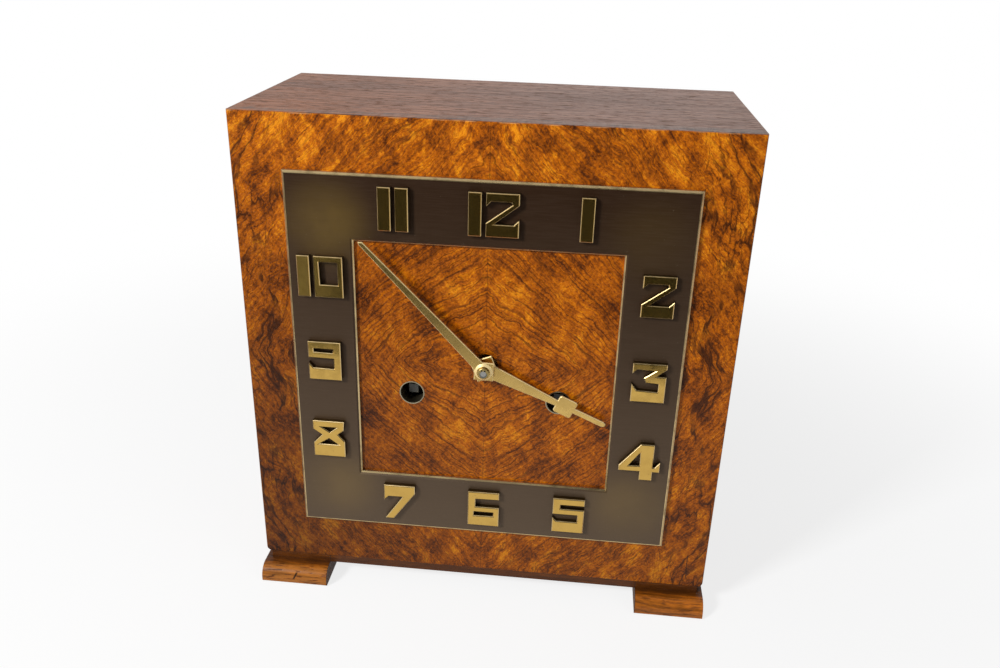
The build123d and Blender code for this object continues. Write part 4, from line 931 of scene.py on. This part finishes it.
class ClockWoods(bpy.types.PropertyGroup):
    """Colours of the woods."""
    walnut: FloatVectorProperty(
        name="Walnut", description="Middle tone of the front veneer", subtype="COLOR",
        default=(0.31, 0.072, 0.001), min=0.0, max=1.0)
    bright_walnut: FloatVectorProperty(
        name="Bright walnut", description="Lightest tone of the front veneer", subtype="COLOR",
        default=(0.64, 0.215, 0.005), min=0.0, max=1.0)
    dark_walnut: FloatVectorProperty(
        name="Dark walnut", description="Darkest tone of the front veneer", subtype="COLOR",
        default=(0.052, 0.012, 0.002), min=0.0, max=1.0)
    board: FloatVectorProperty(
        name="Board", description="Middle tone of the top and the sides", subtype="COLOR",
        default=(0.170, 0.054, 0.013), min=0.0, max=1.0)
    plinth: FloatVectorProperty(
        name="Plinth", description="Middle tone of the base board and the feet", subtype="COLOR",
        default=(0.190, 0.053, 0.004), min=0.0, max=1.0)


class ClockMetals(bpy.types.PropertyGroup):
    """Colours of the metals."""
    bronze: FloatVectorProperty(
        name="Bronze", description="Patinated flat of the dial frame", subtype="COLOR",
        default=(0.031, 0.0130, 0.0045), min=0.0, max=1.0)
    olive_bronze: FloatVectorProperty(
        name="Olive bronze", description="Rubbed corners of the dial frame", subtype="COLOR",
        default=(0.118, 0.070, 0.014), min=0.0, max=1.0)
    pale_brass: FloatVectorProperty(
        name="Pale brass", description="Bevels of the dial frame", subtype="COLOR",
        default=(0.62, 0.47, 0.24), min=0.0, max=1.0)
    gold_brass: FloatVectorProperty(
        name="Gold brass", description="Fronts of the figures", subtype="COLOR",
        default=(0.57, 0.36, 0.090), min=0.0, max=1.0)
    hand_brass: FloatVectorProperty(
        name="Hand brass", description="Satin brass of the hands", subtype="COLOR",
        default=(0.70, 0.465, 0.145), min=0.0, max=1.0)
    movement_brass: FloatVectorProperty(
        name="Movement brass", description="Plates and wheels", subtype="COLOR",
        default=(0.74, 0.56, 0.24), min=0.0, max=1.0)
    steel: FloatVectorProperty(
        name="Steel", description="Arbors, nuts and screws", subtype="COLOR",
        default=(0.52, 0.51, 0.48), min=0.0, max=1.0)


class ClockStudio(bpy.types.PropertyGroup):
    """Light and camera."""
    lens: FloatProperty(
        name="Lens", description="Focal length of the camera in millimetres", default=32.5, min=10.0)
    key: FloatProperty(
        name="Key lamp", description="Power of the large lamp at the upper left", subtype="POWER",
        default=22.0)
    fill: FloatProperty(
        name="Fill lamp", description="Power of the soft lamp at the right", subtype="POWER", default=1.8)
    world: FloatProperty(name="World", description="Strength of the light from all round", default=0.30)


# Operators

class CLOCK_OT_studio(bpy.types.Operator):
    """Floor, cloth, lamps, world and camera"""
    bl_idname = "clock.studio"
    bl_label = "Set up the studio"

    def execute(self, context):
        scene = context.scene
        settings = scene.clock_studio
        scene.view_settings.view_transform = "Standard"
        bpy.ops.object.select_all(action="DESELECT")
        studio_floor()
        studio_flag()
        scene.world = studio_world(settings.world)
        studio_lamp("key_lamp", KEY_PLACE, KEY_TARGET, settings.key, KEY_SIZE)
        studio_lamp("fill_lamp", FILL_PLACE, FILL_TARGET, settings.fill, FILL_SIZE)
        scene.camera = studio_camera(settings.lens)
        return {"FINISHED"}


class CLOCK_OT_front(bpy.types.Operator):
    """Figured veneer of the front panel"""
    bl_idname = "clock.front"
    bl_label = "Finish the front"

    def execute(self, context):
        paint(burl_veneer(context.scene.clock_woods), "case_front")
        return {"FINISHED"}


class CLOCK_OT_case(bpy.types.Operator):
    """Top, sides, floor and rear door"""
    bl_idname = "clock.case"
    bl_label = "Finish the case"

    def execute(self, context):
        tones = board_tones(context.scene.clock_woods)
        paint(top_veneer(tones), "case_top")
        paint(side_veneer(tones), "case_side_left", "case_side_right")
        paint(bare_wood("door_wood", "Z"), "rear_door")
        paint(bare_wood("floor_wood", "X"), "case_bottom")
        return {"FINISHED"}


class CLOCK_OT_plinth(bpy.types.Operator):
    """Base board and the two bar feet"""
    bl_idname = "clock.plinth"
    bl_label = "Finish the plinth"

    def execute(self, context):
        middle = tuple(context.scene.clock_woods.plinth)
        paint(plinth_wood(middle), "base_board", "foot_left", "foot_right")
        return {"FINISHED"}


class CLOCK_OT_dial(bpy.types.Operator):
    """Dial frame, figures and the eyelets of the winding holes"""
    bl_idname = "clock.dial"
    bl_label = "Finish the dial"

    def execute(self, context):
        settings = context.scene.clock_metals
        paint(patinated_bronze(settings), "dial_frame")
        paint(polished_figures(settings), *(f"numeral_{hour}" for hour in range(1, 13)))
        paint(worked_metal("eyelet_brass", (0.42, 0.36, 0.24), 0.30, tarnish=0.6), "winding_eyelets")
        return {"FINISHED"}


class CLOCK_OT_hands(bpy.types.Operator):
    """Hands, collet and nut"""
    bl_idname = "clock.hands"
    bl_label = "Finish the hands"

    def execute(self, context):
        settings = context.scene.clock_metals
        for node in ("minute_hand", "hour_hand", "hand_collet"):
            paint(satin_hand(settings, node), node)
        paint(worn_nut(), "hand_nut")
        return {"FINISHED"}


class CLOCK_OT_movement(bpy.types.Operator):
    """Plates, trains, escapement, pendulum and striking work, with their nuts and screws"""
    bl_idname = "clock.movement"
    bl_label = "Finish the movement"

    def execute(self, context):
        settings = context.scene.clock_metals
        brass = tuple(settings.movement_brass)
        all_ways = (1.0, 1.0, 1.0)
        plates = worked_metal("plate_brass", brass, 0.30, 0.20, 0.30, (1.0, 1.0, 0.05))
        turned = worked_metal("turned_brass", scaled(brass, 1.05), 0.24, 0.12, 0.20, all_ways)
        steel = worked_metal("bright_steel", tuple(settings.steel), 0.26, 0.15)
        dull = worked_metal("dull_steel", (0.11, 0.11, 0.105), 0.48, 0.2, 0.4)
        rods = worked_metal("rod_steel", (0.34, 0.34, 0.35), 0.22, 0.10, 0.20, (0.05, 1.0, 1.0))
        iron = worked_metal("cast_iron", (0.055, 0.055, 0.058), 0.62, 0.5, 0.4, all_ways)
        paint(plates, "front_plate", "back_plate", "plate_pillars", "movement_posts", "pendulum_cock")
        paint(turned, "cannon_pinion", "hour_wheel", "minute_wheel", "pendulum_bob", "rating_nut")
        for node, reach in ARBORS.items():
            paint(wheel_metal(settings, node, reach * MM), node)
        paint(steel, "going_click", "strike_click", "anchor", "suspension_spring", "hammer")
        paint(dull, "going_arbor", "strike_arbor")
        paint(rods, "pendulum_rod", "gong_rods")
        paint(iron, "gong_block")
        pillar_nuts(steel)
        movement_screws(steel)
        gong_screws(steel)
        return {"FINISHED"}


class CLOCK_OT_fittings(bpy.types.Operator):
    """Hinges, knob and their screws"""
    bl_idname = "clock.fittings"
    bl_label = "Finish the fittings"

    def execute(self, context):
        brass = worked_metal("fitting_brass", (0.58, 0.43, 0.18), 0.32, 0.2, 0.4)
        paint(brass, "hinge_case_leaves", "hinge_door_leaves", "door_knob")
        hinge_screws(brass)
        knob_screw(brass)
        return {"FINISHED"}


OPERATORS = (
    CLOCK_OT_studio, CLOCK_OT_front, CLOCK_OT_case, CLOCK_OT_plinth, CLOCK_OT_dial, CLOCK_OT_hands,
    CLOCK_OT_movement, CLOCK_OT_fittings,
)


class CLOCK_PT_panel(bpy.types.Panel):
    """Lists the steps that finish the clock"""
    bl_idname = "CLOCK_PT_panel"
    bl_label = "Mantel clock"
    bl_space_type = "VIEW_3D"
    bl_region_type = "UI"
    bl_category = "Clock"

    def draw(self, context):
        column = self.layout.column(align=True)
        for operator in OPERATORS:
            column.operator(operator.bl_idname)


CLASSES = (ClockWoods, ClockMetals, ClockStudio, *OPERATORS, CLOCK_PT_panel)


def register():
    for item in CLASSES:
        bpy.utils.register_class(item)
    bpy.types.Scene.clock_woods = PointerProperty(type=ClockWoods)
    bpy.types.Scene.clock_metals = PointerProperty(type=ClockMetals)
    bpy.types.Scene.clock_studio = PointerProperty(type=ClockStudio)


def unregister():
    for name in ("clock_woods", "clock_metals", "clock_studio"):
        delattr(bpy.types.Scene, name)
    for item in reversed(CLASSES):
        bpy.utils.unregister_class(item)


def main():
    register()
    bpy.ops.object.select_all(action="DESELECT")
    bpy.ops.clock.studio()
    bpy.ops.clock.front()
    bpy.ops.clock.case()
    bpy.ops.clock.plinth()
    bpy.ops.clock.dial()
    bpy.ops.clock.hands()
    bpy.ops.clock.movement()
    bpy.ops.clock.fittings()


if __name__ == "__main__":
    main()
